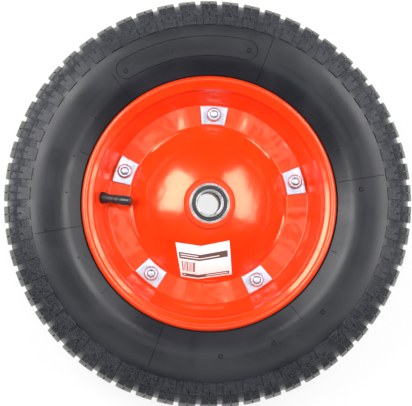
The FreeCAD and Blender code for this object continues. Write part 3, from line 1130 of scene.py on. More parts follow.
        def upward(spot: Vector) -> Vector:
            """The way off the crown's floor at a place."""
            radius = math.hypot(spot.x, spot.y)
            if radius < self.groove_outer[0] + 0.05:
                return Vector((0, 0, 0))
            share = (abs(spot.z) - (self.crown_level - self.bend_reach)) / (2 * self.bend_reach)
            tilt = slope * min(1.0, max(0.0, share))
            side = math.copysign(math.sin(tilt), spot.z)
            foot = min(1.0, (radius - self.groove_outer[0]) / self.foot_reach)
            flat = math.cos(tilt) / radius
            return Vector((spot.x * flat, spot.y * flat, side)) * height * foot

        pick_faces(piece, on_block)
        bpy.ops.mesh.extrude_region_move()
        shift_picked(piece, upward)

    def raise_lugs(self, piece: Piece) -> None:
        """Raise the shoulder lugs, with a notch at the outer end of each.

        Args:
            piece: The pitch.
        """
        def on_lug(middle: Vector, normal: Vector) -> bool:
            """Whether a face is on a lug, outside its notch."""
            notch = self.in_slit(middle) and math.hypot(middle.x, middle.y) > self.notch_start
            wide = self.share_of(middle) > self.shoulder_gap / 2
            return self.is_lug(middle) and wide and not notch and normal.z * middle.z > 0

        def upward(spot: Vector) -> Vector:
            """The way off the shoulder at a place."""
            radius = math.hypot(spot.x, spot.y)
            share = (radius - self.lug_inner[0]) / (self.lug_outer[0] - self.lug_inner[0])
            lean = self.lug_lean / radius
            rise = self.lug_rise[0] + self.lug_rise[1] * share
            return Vector((spot.x * lean, spot.y * lean, math.copysign(rise, spot.z)))

        pick_faces(piece, on_lug)
        bpy.ops.mesh.extrude_region_move()
        shift_picked(piece, upward)

    def build(self) -> Piece:
        """Model one pitch, raise its tread, and copy it round the tyre.

        Returns:
            The tyre.
        """
        piece = self.build_pitch()
        with editing(piece):
            self.raise_crown(piece, self.tread_depth - self.slit_depth, keep_slit=False)
            self.raise_crown(piece, self.slit_depth, keep_slit=True)
            self.raise_lugs(piece)
            bpy.ops.mesh.select_all(action="SELECT")
            bpy.ops.mesh.remove_doubles(threshold=0.002 * MM)
            bpy.ops.mesh.dissolve_degenerate(threshold=0.001 * MM)
            pick_rims(piece, 40.0, lambda middle: math.hypot(middle.x, middle.y) > self.lug_inner[0])
            bpy.ops.mesh.bevel(offset=self.edge_bevel * MM, segments=1, affect="EDGES")
            bpy.ops.mesh.select_all(action="SELECT")
            others = self.pitches - 1
            sweep(360 * others / self.pitches, others, as_copies=True)
            bpy.ops.mesh.select_all(action="SELECT")
            bpy.ops.mesh.remove_doubles(threshold=0.004 * MM)
        return piece


@dataclass
class RimHalf:
    """One pressed sheet, from its collar on the hub tube to the rolled lip that holds the tyre."""

    side: Side
    sheet: float = 1.8
    collar: float = 20.45
    collar_height: float = 36.5
    dish_height: float = 31.5
    dish_corner: Point = (47.94, 24.13)
    dish_bend: float = 90.0
    ring_inner: float = 69.6
    ring_outer: float = 88.8
    ring_bend: float = 1.8
    press_bend: float = 3.2
    lip_bend: float = 1.8
    seat_foot: Point = (99.61, 18.5)
    seat: Point = (100.4, 27.5)
    lip_foot: Point = (105.3, 30.2)
    lip_crest: Point = (107.8, 33.4)
    lip_end: Point = (109.75, 30.8)
    steps: int = 208

    def middle_line(self) -> List[Point]:
        """The line along the middle of the sheet, from the hub outwards.

        Returns:
            The line's points.
        """
        level = self.sheet / 2
        return bent_line([
            (self.collar, self.collar_height, 0),
            (self.collar, self.dish_height, self.press_bend),
            (*self.dish_corner, self.dish_bend),
            (self.ring_inner, level, self.ring_bend),
            (self.ring_outer, level, self.ring_bend),
            (*self.seat_foot, self.press_bend),
            (*self.seat, self.press_bend),
            (*self.lip_foot, self.lip_bend),
            (*self.lip_crest, self.lip_bend),
            (*self.lip_end, 0),
        ], 2.0)

    def top_at(self, radius: float) -> float:
        """The height of the front sheet's upper face at a radius of the dish."""
        top = beside(self.middle_line(), self.sheet / 2)
        return height_at([point for point in top if point[0] > self.collar], radius)

    def build(self, tools: Sequence[Piece]) -> Piece:
        """Spin the sheet and cut the holes.

        Args:
            tools: What is cut out of it.

        Returns:
            The sheet.
        """
        name = "pressed_rim_" + self.side.name.lower()
        outline = sheet_outline(self.middle_line(), self.sheet)
        outline = [(radius, self.side.value * height) for radius, height in outline]
        return cut_away(spun(name, outline, self.steps), tools)


@dataclass
class Hub:
    """The tube between the two rim halves."""

    half_length: float = 37.5
    radius: float = 19.5
    seat_radius: float = 17.5
    shoulder_radius: float = 16.5
    seat_height: float = 26.0
    rounding: float = 0.4

    def build(self) -> Piece:
        """Spin the tube.

        Returns:
            The tube.
        """
        half = [
            (self.shoulder_radius, self.seat_height, 0),
            (self.seat_radius, self.seat_height, 0),
            (self.seat_radius, self.half_length, self.rounding),
            (self.radius, self.half_length, self.rounding),
        ]
        return spun("red_hub_tube", bent_line(both_sides(half), 20.0, closed=True), 144)


@dataclass
class Bearing:
    """One sealed ball bearing, seated in an end of the hub tube."""

    side: Side
    middle: float = 31.5
    half_width: float = 5.5
    bore: float = 10.0
    outer: float = 17.5
    inner_land: float = 12.07
    outer_land: float = 15.43
    groove: float = 0.5
    seal_low: float = 4.0
    seal_high: float = 5.1
    lip_clearance: float = 0.08
    track: float = 0.75
    track_reach: float = 1.65
    rounding: float = 0.45

    @property
    def prefix(self) -> str:
        """The start of the names of this bearing's nodes."""
        return self.side.name.lower() + "_bearing_"

    def at_seat(self, piece: Piece) -> Piece:
        """Move a piece from the origin to this bearing's seat."""
        return place(piece, Matrix.Translation((0, 0, self.side.value * self.middle * MM)))

    def build_seal(self, name: str, way: int) -> Piece:
        """A seal with a pressed groove and a thin inner lip.

        Args:
            name: The piece's name.
            way: 1 for the seal above the balls, -1 for the one below.

        Returns:
            The seal, at its seat.
        """
        inner, outer = self.inner_land + self.lip_clearance, self.outer_land + self.groove
        low, high = self.seal_low, self.seal_high
        corners = [
            (inner, low, 0), (outer, low, 0), (outer, high - 0.25, 0), (outer - 0.5, high - 0.25, 0.2),
            (outer - 0.8, high, 0.3), (inner + 1.35, high, 0.3), (inner + 1.0, high - 0.4, 0.2),
            (inner + 0.5, high - 0.4, 0.2), (inner + 0.2, high - 0.1, 0.15), (inner, high - 0.3, 0),
        ]
        corners = [(radius, way * height, bend) for radius, height, bend in corners]
        return self.at_seat(spun(name, bent_line(corners, 20.0, closed=True), 144))

    def build_race(self, name: str, corners: Sequence[Corner], track: float) -> Piece:
        """A race with the track that the balls roll in.

        Args:
            name: The piece's name.
            corners: The +Z half of its section, from the track's land outwards.
            track: The track's depth below the land, which is negative where the balls are outside the race.

        Returns:
            The race, at its seat.
        """
        land = corners[0][0]
        depth = [(-1.0, 0.0), (-0.85, 0.45), (-0.6, 0.78), (-0.3, 0.95), (0.0, 1.0)]
        marks = depth + [(-spot, share) for spot, share in depth[-2::-1]]
        line = [(land + track * share, self.track_reach * spot, 0) for spot, share in marks]
        below = [(radius, -height, bend) for radius, height, bend in reversed(corners)]
        section = below + line + list(corners)
        return self.at_seat(spun(name, bent_line(section, 20.0, closed=True), 144))

    def build_outer(self) -> Piece:
        """The outer race, with the two grooves that hold the seals.

        Returns:
            The race, at its seat.
        """
        half = [
            (self.outer_land, self.seal_low, 0),
            (self.outer_land + self.groove, self.seal_low, 0),
            (self.outer_land + self.groove, self.seal_high, 0),
            (self.outer_land, self.seal_high, 0),
            (self.outer_land, self.half_width, 0.15),
            (self.outer, self.half_width, self.rounding),
        ]
        return self.build_race(self.prefix + "outer_ring", half, self.track)

    def build_inner(self) -> Piece:
        """The inner race, bored for the axle.

        Returns:
            The race, at its seat.
        """
        half = [
            (self.inner_land, self.half_width, 0.15),
            (self.bore, self.half_width, self.rounding),
        ]
        return self.build_race(self.prefix + "inner_ring", half, -self.track)


@dataclass
class Clamps:
    """The five plates, nuts and bolts that hold the rim halves together."""

    count: int = 5
    circle: float = 79.4
    first_angle: float = 14.5
    plate_inner: float = 70.68
    plate_outer: float = 87.49
    plate_angle: float = 16.3
    plate_low: float = 1.8
    plate_high: float = 3.8
    plate_bevel: float = 0.7
    plate_edge: float = 0.25
    hexagon_edge: float = 0.18
    hole: float = 3.3
    across_flats: float = 10.0
    nut_height: float = 6.0
    head_height: float = 5.0
    flange: float = 6.5
    flange_height: float = 1.3
    bolt: float = 3.0
    bolt_end: float = 11.2
    thread_pitch: float = 1.0
    thread_depth: float = 0.45
    head_foot: float = -1.8

    def at_circle(self, height: float = 0.0) -> Matrix:
        """From the origin to the first place on the bolt circle, before its turn."""
        return Matrix.Translation((self.circle * MM, 0, height * MM))

    def bolt_drills(self) -> List[Piece]:
        """A drill at each bolt."""
        turns = (turned_to(self.first_angle + 360 * index / self.count) for index in range(self.count))
        return [drill(self.hole, 20.0, turn @ self.at_circle()) for turn in turns]

    def build_plates(self) -> Piece:
        """Sector plates with rounded borders.

        Returns:
            The plates, in their places.
        """
        outline = [
            (self.plate_inner, self.plate_low), (self.plate_outer, self.plate_low),
            (self.plate_outer, self.plate_high), (self.plate_inner, self.plate_high),
        ]
        plate = spun("zinc_clamp_plates", outline, 12, self.plate_angle)
        with editing(plate):
            pick_rims(plate, 30.0, lambda middle: middle.z > self.plate_high - 0.1)
            bpy.ops.mesh.bevel(offset=self.plate_bevel * MM, segments=3, affect="EDGES")
            pick_rims(plate, 50.0, lambda middle: True)
            bpy.ops.mesh.bevel(offset=self.plate_edge * MM, segments=2, affect="EDGES")
        drilled = cut_away(plate, [drill(self.hole, 20.0, self.at_circle())])
        return ring_of("zinc_clamp_plates", drilled, self.count, self.first_angle)

    def hexagon(self, name: str, height: float) -> Piece:
        """A hexagon with a round flange at its foot and a turned top, standing on Z = 0.

        Args:
            name: The piece's name.
            height: The hexagon's height.

        Returns:
            The piece.
        """
        corner = self.across_flats / math.sqrt(3)
        bpy.ops.object.select_all(action="DESELECT")
        bpy.ops.mesh.primitive_cylinder_add(vertices=6, radius=corner * MM, depth=height * MM,
                                            location=(0, 0, height * MM / 2))
        bpy.ops.object.transform_apply(location=True)
        piece = bpy.context.object
        piece.name = name
        crown = bent_line([
            (0, -1, 0), (9, -1, 0), (9, height - 2.5, 0),
            (self.across_flats / 2 * 0.97, height, 0.3), (0, height, 0),
        ], 10.0, closed=True)
        combined(piece, spun("turned_blank", crown, 48), "INTERSECT")
        bevelled(piece, self.hexagon_edge)
        rise = self.flange_height
        skirt = spun("flange", bent_line([
            (0, 0, 0), (self.flange, 0, 0.2), (self.flange, rise / 2, 0.3),
            (self.across_flats / 2, 1.6 * rise, 0.8), (0, 1.6 * rise, 0),
        ], 15.0, closed=True), 48)
        return combined(piece, skirt, "UNION")

    def thread(self, name: str, radius: float, low: float, high: float) -> Piece:
        """A threaded rod: a turned core with a helical ridge about it.

        Args:
            name: The piece's name.
            radius: The thread's outer radius.
            low: Where the thread starts.
            high: Where the rod ends.

        Returns:
            The rod, along the Z axis.
        """
        root = radius - self.thread_depth
        turns = int((high - low) / self.thread_pitch)
        outline = (
            (root - 0.1, 0.0), (root - 0.1, 0.84), (root, 0.84), (radius, 0.5), (radius, 0.4), (root, 0.06),
        )
        ridge = outlined(name, [(out, share * self.thread_pitch) for out, share in outline], filled=True)
        applied(ridge, "SCREW", axis="Z", screw_offset=self.thread_pitch * MM, iterations=turns, steps=24,
                render_steps=24, use_merge_vertices=True)
        with editing(ridge):
            bpy.ops.mesh.normals_make_consistent(inside=False)
        place(ridge, Matrix.Translation((0, 0, (high - turns * self.thread_pitch - 0.9) * MM)))
        core = spun(name + "_core", bent_line([
            (0, low, 0), (root, low, 0), (root, high - 0.3, 0), (root - 0.5, high, 0.2), (0, high, 0),
        ], 20.0, closed=True), 32)
        return joined(name, [core, ridge])

    def build_nuts(self) -> Piece:
        """Flange nuts on the plates.

        Returns:
            The nuts, in their places.
        """
        nut = self.hexagon("zinc_flange_nuts", self.nut_height)
        mouth = bent_line([
            (0, -1, 0), (self.bolt, -1, 0), (self.bolt, self.nut_height - 0.7, 0),
            (self.bolt + 0.8, self.nut_height + 0.1, 0), (0, self.nut_height + 0.1, 0),
        ], closed=True)
        nut = cut_away(nut, [spun("nut_bore", mouth, 32)])
        place(nut, self.at_circle(self.plate_high))
        return ring_of("zinc_flange_nuts", nut, self.count, self.first_angle)

    def build_bolts(self) -> Piece:
        """Flange bolts, whose threaded ends stand out of the nuts.

        Returns:
            The bolts, in their places.
        """
        head = self.hexagon("bolt_head", self.head_height)
        place(head, Matrix.Translation((0, 0, self.head_foot * MM)) @ Matrix.Rotation(math.pi, 4, "X"))
        shank = self.thread("bolt_shank", self.bolt - 0.03, self.head_foot, self.bolt_end)
        bolt = joined("zinc_bolts", [head, shank])
        place(bolt, self.at_circle())
        return ring_of("zinc_bolts", bolt, self.count, self.first_angle)


@dataclass
class Valve:
    """The rubber stem, the threaded brass body and the screw cap, along the valve's own axis."""

    azimuth: float = 176.6
    wall_radius: float = 94.3
    wall_height: float = 9.85
    lean_out: float = 22.0
    lean_side: float = -4.4
    hole: float = 5.4
    stem_root: float = -5.5
    in_hole: float = 5.0
    thread: float = 3.85
    thread_start: float = 14.2
    thread_end: float = 26.0
    cap_start: float = 13.9
    cap_end: float = 28.4
    ribs: int = 16
    rib_depth: float = 0.42
    grip: Point = (17.6, 26.4)

    def at_rim(self) -> Matrix:
        """From the valve's own axis to its place in the rim.

        Returns:
            The move.
        """
        lean = Matrix.Rotation(math.radians(self.lean_out - 90), 4, "Y")
        side = Matrix.Rotation(math.radians(self.lean_side), 4, "Z")
        spot = Matrix.Translation((self.wall_radius * MM, 0, self.wall_height * MM))
        return turned_to(self.azimuth) @ spot @ side @ lean

    def build_stem(self) -> Piece:
        """The flared rubber stem, up to the brass that it is moulded on.

        Returns:
            The stem, in the rim.
        """
        outline = bent_line([
            (2.95, self.stem_root + 0.5, 0), (self.in_hole, self.stem_root + 0.5, 0), (self.in_hole, 1.8, 0),
            (5.0, 3.4, 1.2), (3.7, 7.2, 4.0), (3.7, 11.6, 0.3), (4.05, 12.0, 0.3), (4.05, 12.9, 0.3),
            (3.75, 13.5, 0.3), (2.95, 13.6, 0),
        ], 8.0, closed=True)
        return place(spun("rubber_valve_stem", outline, 64), self.at_rim())

    def build_cap(self) -> Piece:
        """The cap: a plain skirt, a ribbed grip and a rounded tip.

        Returns:
            The cap, on the valve.
        """
        outline = bent_line([
            (3.95, self.cap_start, 0), (4.35, self.cap_start, 0.2), (4.45, 15.6, 0.5), (4.1, 16.2, 0.5),
            (4.15, 17.0, 0.4), (4.55, 19.4, 2.0), (4.5, 24.0, 4.0), (4.25, 26.6, 1.5),
            (3.9, self.cap_end, 1.1), (0, self.cap_end, 0), (0, 27.2, 0), (3.95, 27.2, 0),
        ], 12.0, closed=True)
        cap = spun("ribbed_valve_cap", outline, self.ribs * 4)
        half_rib = math.pi / self.ribs

        def on_grip(middle: Vector, normal: Vector) -> bool:
            """Whether a face is on every second stripe of the grip."""
            turn = math.atan2(middle.y, middle.x) % (2 * half_rib)
            level = self.grip[0] < middle.z < self.grip[1]
            return level and math.hypot(middle.x, middle.y) > 4.05 and turn < half_rib

        def inward(spot: Vector) -> Vector:
            """The way towards the cap's axis."""
            return Vector((-spot.x, -spot.y, 0)).normalized() * self.rib_depth

        with editing(cap):
            pick_faces(cap, on_grip)
            bpy.ops.mesh.inset(thickness=0.12 * MM)
            shift_picked(cap, inward)
        return place(cap, self.at_rim())

    def build_body(self, clamps: Clamps) -> Piece:
        """The threaded brass body that the cap screws onto.

        Args:
            clamps: The clamps, which give the thread.

        Returns:
            The body, in the rim.
        """
        rod = clamps.thread("brass_thread", self.thread - 0.02, self.thread_start, self.thread_end)
        bore = spun("valve_bore", [(0, 20.0), (2.6, 20.0), (2.6, 27.0), (0, 27.0)], 32)
        root = spun("brass_root", [(0, -3.9), (2.85, -3.9), (2.85, 14.3), (0, 14.3)], 48)
        return place(joined("threaded_valve_body", [cut_away(rod, [bore]), root]), self.at_rim())


@dataclass
class Label:
    """The paper label that follows the dish below the hub."""

    top_left: Point = (-29.3, -33.7)
    top_middle: Point = (-7.1, -37.0)
    top_right: Point = (17.5, -32.2)
    bottom_left: Point = (-24.0, -63.8)
    bottom_middle: Point = (-9.2, -66.0)
    bottom_right: Point = (20.6, -61.8)
    lift: float = 0.06
    thickness: float = 0.16
    cells: int = 40

    def along(self, share: float, ends: Sequence[Point]) -> Vector:
        """A place on an edge through three points, by its share of the way.

        Args:
            share: The share.
            ends: The three points.

        Returns:
            The place.
        """
        first, middle, last = (Vector(point) for point in ends)
        if share < 0.5:
            return first.lerp(middle, share * 2)
        return middle.lerp(last, share * 2 - 1)

    def build(self, rim: RimHalf) -> Piece:
        """Lay a grid on the dish and give it the paper's thickness.

        Args:
            rim: The rim half that it lies on.

        Returns:
            The label.
        """
        bpy.ops.object.select_all(action="DESELECT")
        bpy.ops.mesh.primitive_grid_add(x_subdivisions=self.cells, y_subdivisions=self.cells, size=1.0,
                                        calc_uvs=True)
        piece = bpy.context.object
        piece.name = "paper_label"
        top = (self.top_left, self.top_middle, self.top_right)
        bottom = (self.bottom_left, self.bottom_middle, self.bottom_right)
        for vertex in piece.data.vertices:
            across, up = vertex.co.x + 0.5, vertex.co.y + 0.5
            spot = self.along(across, bottom).lerp(self.along(across, top), up)
            height = rim.top_at(spot.length) + self.lift
            vertex.co = Vector((spot.x, spot.y, height)) * MM
        return applied(piece, "SOLIDIFY", thickness=self.thickness * MM, offset=1.0)


@dataclass
class SidewallMarks:
    """The raised marks on the sidewalls: radial lines, dots, dots in rings, and a bare panel's border.

    Places are (radius, angle), and lines are (inner radius, outer radius, angle).
    """

    lines: Tuple[Corner, ...] = (
        (113.2, 139.4, 127.1), (112.6, 119.9, 158.2), (113.0, 152.0, 190.0), (113.5, 120.8, 219.9),
        (114.0, 150.5, 249.3), (113.2, 128.0, 308.5), (112.6, 118.3, 338.8), (112.8, 153.2, 9.3),
        (113.0, 153.1, 68.8),
    )
    ringed_dots: Tuple[Point, ...] = (
        (134.8, 122.5), (136.3, 75.5), (131.2, 5.3), (135.0, 316.1), (132.2, 294.6), (132.0, 274.0),
    )
    dots: Tuple[Point, ...] = (
        (122.7, 143.3), (123.4, 160.8), (123.6, 175.7), (142.7, 189.3), (122.2, 202.6),
    )
    panel_middle: float = 136.0
    panel_half_width: float = 8.5
    panel_ends: Point = (76.0, 122.0)
    ridge_height: float = 0.3
    ridge_half_width: float = 0.3
    dot_radius: float = 0.8
    ring_radius: float = 2.1
    ring_bore: float = 1.2
    sunk: float = -0.8
    rise: float = 0.35

    def ridge(self, tyre: Tyre, route: Sequence[Point]) -> Piece:
        """A fine ridge along a route of (radius, angle) on the +Z sidewall.

        Args:
            tyre: The tyre.
            route: The route's points.

        Returns:
            The ridge.
        """
        wall = tyre.sidewall()
        spots = []
        for radius, angle in route:
            turn = math.radians(angle)
            spots.append(Vector((radius * math.cos(turn), radius * math.sin(turn), height_at(wall, radius))))
        bpy.ops.object.select_all(action="DESELECT")
        bpy.ops.mesh.primitive_grid_add(x_subdivisions=2, y_subdivisions=len(route) - 1, size=1.0)
        piece = bpy.context.object
        for vertex in piece.data.vertices:
            index = round((vertex.co.y + 0.5) * (len(route) - 1))
            way = spots[min(index + 1, len(spots) - 1)] - spots[max(index - 1, 0)]
            across = way.cross(Vector((0, 0, 1))).normalized() * self.ridge_half_width
            rise = self.ridge_height if abs(vertex.co.x) < 0.1 else -0.1
            vertex.co = (spots[index] + across * round(2 * vertex.co.x) + Vector((0, 0, rise))) * MM
        if piece.data.polygons[0].normal.z < 0:
            piece.data.flip_normals()
        return piece

    def panel(self) -> List[Point]:
        """The closed border of the bare panel, with round ends.

        Returns:
            The route along it.
        """
        low, high = self.panel_ends
        inner, outer = self.panel_middle - self.panel_half_width, self.panel_middle + self.panel_half_width
        steps = 24
        bulge = math.degrees(self.panel_half_width / self.panel_middle)
        border = []
        for way, side, start, end in ((1, outer, low, high), (-1, inner, high, low)):
            border += [(side, start + (end - start) * step / steps) for step in range(steps + 1)]
            for turn in (math.pi * step / 8 for step in range(1, 8)):
                reach = way * self.panel_half_width * math.cos(turn)
                border.append((self.panel_middle + reach, end + way * bulge * math.sin(turn)))
        return border + border[:1]

    def button(self, tyre: Tyre, spot: Point, outline: Sequence[Point]) -> Piece:
        """A small turned mark that stands on the +Z sidewall.

        Args:
            tyre: The tyre.
            spot: Its radius and angle.
            outline: Its section's points.

        Returns:
            The mark.
        """
        radius, angle = spot
        at = Matrix.Translation((radius * MM, 0, height_at(tyre.sidewall(), radius) * MM))
        return place(spun("button", outline, 16), turned_to(angle) @ at)

    def build(self, tyre: Tyre) -> Piece:
        """Model the marks of one sidewall and turn a copy onto the other.

        Args:
            tyre: The tyre.

        Returns:
            The marks.
        """
        pieces = []
        for inner, outer, angle in self.lines:
            steps = max(2, round((outer - inner) / 3))
            route = [(inner + (outer - inner) * step / steps, angle) for step in range(steps + 1)]
            pieces.append(self.ridge(tyre, route))
        pieces.append(self.ridge(tyre, self.panel()))
        sunk, rise = self.sunk, self.rise
        dot = [(0, sunk), (self.dot_radius, sunk), (self.dot_radius, rise - 0.15),
               (self.dot_radius - 0.2, rise), (0, rise)]
        ring = [(self.ring_bore, sunk), (self.ring_radius, sunk), (self.ring_radius, rise - 0.1),
                (self.ring_radius - 0.2, rise), (self.ring_bore + 0.2, rise), (self.ring_bore, rise - 0.1)]
        pieces += [self.button(tyre, spot, dot) for spot in self.dots]
        pieces += [self.button(tyre, spot, ring) for spot in self.ringed_dots]
        front = joined("sidewall_marks", pieces)
        back = copied(front, "back_marks", Matrix.Rotation(math.pi, 4, "X"))
        return joined("sidewall_marks", [front, back])


@dataclass
class Studio:
    """The pale floor, the lamps and the camera."""

    floor_height: float = -41.0
    floor_size: float = 8.0
    floor_glow: float = 0.82
    lamp_distance: float = 1.25
    camera_distance: float = 1300.0
    camera_tilt: float = 2.5
    camera_side: Point = (-0.83, -0.55)
    aim: Point = (-1.9, 1.1)
    focal_pixels: float = 1464.0
    frame_width: float = 412.0
    sensor: float = 36.0
    wall_top: float = 11.0
    wall_fade: float = 6.0
    wall_level: float = 0.7
    ceiling: float = 0.02
    panel_span: Point = (27.0, 9.0)
    panel_level: float = 1.3
    panel_middle: float = 0.15

    def build_floor(self) -> None:
        """The floor, which stays white to the camera and keeps a soft shadow."""
        bpy.ops.object.select_all(action="DESELECT")
        bpy.ops.mesh.primitive_plane_add(size=self.floor_size, location=(0, 0, self.floor_height * MM))
        floor = bpy.context.object
        floor.name = "studio_floor"
        material = bpy.data.materials.new("studio_white")
        material.use_nodes = True
        graph = Graph(material.node_tree)
        graph.tree.nodes.clear()
        path = graph.put("LightPath")
        seen = graph.maths("MAXIMUM", path.outputs["Is Camera Ray"], graph.maths(
            "MAXIMUM", path.outputs["Is Glossy Ray"], path.outputs["Is Transmission Ray"]))
        lit = graph.put("BsdfDiffuse", {"Color": (0.9, 0.9, 0.9, 1.0)})
        glow = graph.put("Emission", {"Color": (1.0, 1.0, 1.0, 1.0), "Strength": 1.0})
        share = graph.maths("MULTIPLY", seen, self.floor_glow)
        mix = graph.put("MixShader", {0: share, 1: lit.outputs[0], 2: glow.outputs[0]})
        graph.put("OutputMaterial", {"Surface": mix.outputs[0]})
        floor.data.materials.append(material)

    def build_world(self) -> None:
        """A room that is white low round the wheel and near the zenith, and dark between."""
        world = bpy.data.worlds.new("studio_room")
        bpy.context.scene.world = world
        world.use_nodes = True
        graph = Graph(world.node_tree)
        graph.tree.nodes.clear()
        rise = graph.put("SeparateXYZ", {0: graph.put("TexCoord").outputs["Generated"]}).outputs["Z"]
        ends = (self.wall_top, self.wall_top + self.wall_fade)
        foot, top = (math.sin(math.radians(angle)) for angle in ends)
        low = graph.ramp(rise, foot, top, 1.0, 0.0)
        outer, inner = (math.cos(math.radians(angle)) for angle in self.panel_span)
        panel = graph.maths("MULTIPLY", graph.ramp(rise, outer - 0.02, outer + 0.01),
                            graph.ramp(rise, inner - 0.002, inner + 0.002, 1.0, self.panel_middle))
        level = graph.maths("ADD", graph.maths("MULTIPLY", panel, self.panel_level), self.ceiling)
        level = graph.maths("MAXIMUM", level, graph.maths("MULTIPLY", low, self.wall_level))
        path = graph.put("LightPath")
        level = graph.maths("MAXIMUM", level, path.outputs["Is Camera Ray"])
        room = graph.put("Background", {"Color": (1.0, 1.0, 1.0, 1.0), "Strength": level})
        graph.put("OutputWorld", {"Surface": room.outputs[0]})

    def softbox(self, name: str, azimuth: float, elevation: float, size: Point, power: float) -> None:
        """A rectangular lamp that faces the wheel.

        Args:
            name: The lamp's name.
            azimuth: Where it stands, from +X.
            elevation: How high it stands.
            size: Its width and height in metres.
            power: Its power in watts.
        """
        lamp = bpy.data.lights.new(name, "AREA")
        lamp.shape = "RECTANGLE"
        lamp.size, lamp.size_y = size
        lamp.energy = power
        piece = bpy.data.objects.new(name, lamp)
        bpy.context.scene.collection.objects.link(piece)
        turn, rise = math.radians(azimuth), math.radians(elevation)
        way = Vector((math.cos(turn) * math.cos(rise), math.sin(turn) * math.cos(rise), math.sin(rise)))
        piece.location = way * self.lamp_distance
        piece.rotation_euler = way.to_track_quat("Z", "Y").to_euler()

    def build_lamps(self) -> None:
        """Two softboxes beside the wheel."""
        self.softbox("softbox_left", 157.0, 49.0, (1.0, 0.6), 17.0)
        self.softbox("softbox_right", 15.0, 49.0, (1.2, 0.55), 15.0)

    def build_camera(self) -> None:
        """The camera, almost straight above the wheel."""
        tilt = math.radians(self.camera_tilt)
        spot = Vector((
            self.camera_side[0] * math.sin(tilt), self.camera_side[1] * math.sin(tilt), math.cos(tilt)
        )) * self.camera_distance * MM
        target = Vector((self.aim[0], self.aim[1], 0)) * MM
        data = bpy.data.cameras.new("photo_camera")
        data.sensor_width = self.sensor
        data.lens = self.focal_pixels / self.frame_width * self.sensor
        camera = bpy.data.objects.new("photo_camera", data)
        bpy.context.scene.collection.objects.link(camera)
        back = (spot - target).normalized()
        right = Vector((0, 1, 0)).cross(back).normalized()
        up = back.cross(right)
        turn = Matrix((right, up, back)).transposed()
        camera.location = spot
        camera.rotation_euler = turn.to_euler()
        bpy.context.scene.camera = camera

    def build(self) -> None:
        """Build the whole studio."""
        self.build_floor()
        self.build_world()
        self.build_lamps()
        self.build_camera()
        bpy.context.scene.view_settings.view_transform = "Standard"


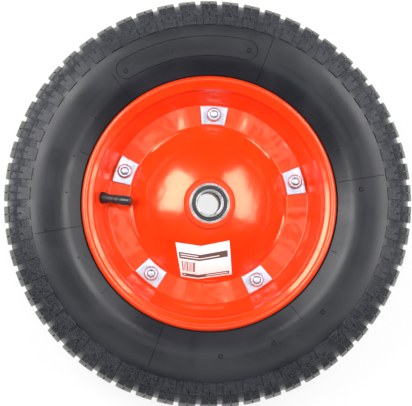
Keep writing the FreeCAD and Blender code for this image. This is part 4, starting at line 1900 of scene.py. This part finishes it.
def main() -> None:
    """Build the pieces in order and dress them."""
    logging.basicConfig(level=logging.INFO, format="%(name)s: %(message)s")
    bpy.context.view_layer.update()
    effects = Effects(make_grain(), make_blotches(), make_turning())

    # From 154.5 mm out, the tyre's pale speckle is dust and also painted sheen on the lug faces.
    tyre_rubber = RubberFinish(
        "tyre_rubber", (0.012, 0.013, 0.017), (0.016, 0.017, 0.022), smooth=0.26, rough=0.38,
        grain_scale=1300.0, grain_depth=0.03, dust_and_sheen=0.16, dust_and_sheen_from=154.5, specular=0.36, worn_from=172.5,
    ).make(effects)
    # Darker rubber on the small raised marks: painted shade, for the shadows that fall round them.
    painted_shade_mark_rubber = RubberFinish(
        "painted_shade_mark_rubber", (0.003, 0.003, 0.004), (0.004, 0.004, 0.005), smooth=0.4, rough=0.55,
        grain_scale=1300.0, grain_depth=0.02, dust_and_sheen=0.0, specular=0.2,
    ).make(effects)
    soft_rubber = RubberFinish(
        "stem_rubber", (0.008, 0.008, 0.009), (0.014, 0.014, 0.015), smooth=0.3, rough=0.45,
        grain_scale=1600.0, grain_depth=0.02, dust_and_sheen=0.05,
    ).make(effects)
    seal_rubber = RubberFinish(
        "seal_rubber", (0.012, 0.012, 0.013), (0.02, 0.02, 0.022), smooth=0.4, rough=0.55,
        grain_scale=2500.0, grain_depth=0.02, dust_and_sheen=0.1,
    ).make(effects)
    cap_plastic = RubberFinish(
        "cap_plastic", (0.006, 0.006, 0.007), (0.012, 0.012, 0.013), smooth=0.18, rough=0.3,
        grain_scale=2200.0, grain_depth=0.03, dust_and_sheen=0.12,
    ).make(effects)
    enamel = EnamelFinish("red_enamel", (0.95, 0.042, 0.003), (0.93, 0.036, 0.002)).make(effects)
    zinc = MetalFinish(
        "zinc_plating", (0.62, 0.66, 0.74), (0.54, 0.58, 0.67), smooth=0.36, rough=0.55, turned=False,
        mark_scale=500.0, mark_depth=0.03,
    ).make(effects)
    ground_steel = MetalFinish(
        "ground_steel", (0.72, 0.72, 0.73), (0.5, 0.5, 0.5), smooth=0.18, rough=0.38, turned=True,
        mark_scale=3000.0, mark_depth=0.01,
    ).make(effects)
    brass = MetalFinish(
        "turned_brass", (0.78, 0.6, 0.3), (0.6, 0.44, 0.2), smooth=0.2, rough=0.4, turned=True,
        mark_scale=3000.0, mark_depth=0.01,
    ).make(effects)
    paper = PrintedPaper("label_print").make(effects)

    tyre = Tyre()
    dressed(tyre.build(), "wheel", ["tyre"], tyre_rubber)
    # The sidewall marks, in their darker rubber, which is painted shade.
    dressed(SidewallMarks().build(tyre), "wheel", [], painted_shade_mark_rubber)
    dressed(merged_copy("inner_tube", "butyl_inner_tube"), "wheel", ["inner_tube"], soft_rubber)

    clamps, valve = Clamps(), Valve()
    for side in Side:
        tools = clamps.bolt_drills()
        if side is Side.FRONT:
            tools.append(drill(valve.hole, 16.0, valve.at_rim()))
        dressed(RimHalf(side).build(tools), "wheel", ["rim_" + side.name.lower()], enamel)

    dressed(Hub().build(), "wheel", ["hub_tube"], enamel)
    for side in Side:
        bearing = Bearing(side)
        start = bearing.prefix
        spin_body, roll_body = side.name.lower() + "_inner_race", side.name.lower() + "_ball_set"
        dressed(bearing.build_outer(), "wheel", [start + "outer_race"], ground_steel)
        dressed(bearing.build_inner(), spin_body, [start + "inner_race"], ground_steel)
        for name, node, way in (("top_seal", "upper_seal", 1), ("low_seal", "lower_seal", -1)):
            dressed(bearing.build_seal(start + name, way), "wheel", [start + node], seal_rubber)
        for kind, slot in (("balls", Slot.BEARING), ("cage", Slot.CAGE)):
            piece = merged_copy(start + kind, start + "steel_" + kind)
            dressed(piece, roll_body, [start + kind], ground_steel)

    for build, node in ((clamps.build_plates, "clamp_plates"), (clamps.build_nuts, "clamp_nuts"),
                        (clamps.build_bolts, "clamp_bolts")):
        dressed(build(), "wheel", [node], zinc)

    dressed(valve.build_stem(), "wheel", [], soft_rubber)
    dressed(valve.build_body(clamps), "wheel", ["valve_body"], brass)
    dressed(merged_copy("valve_core", "brass_valve_core"), "wheel", ["valve_core"], brass)
    dressed(merged_copy("valve_pin", "brass_valve_pin"), "valve_pin", ["valve_pin"], brass)
    dressed(valve.build_cap(), "valve_cap", ["valve_cap"], cap_plastic)
    dressed(Label().build(RimHalf(Side.FRONT)), "wheel", ["label"], paper)

    Studio().build()


if __name__ == "__main__":
    main()
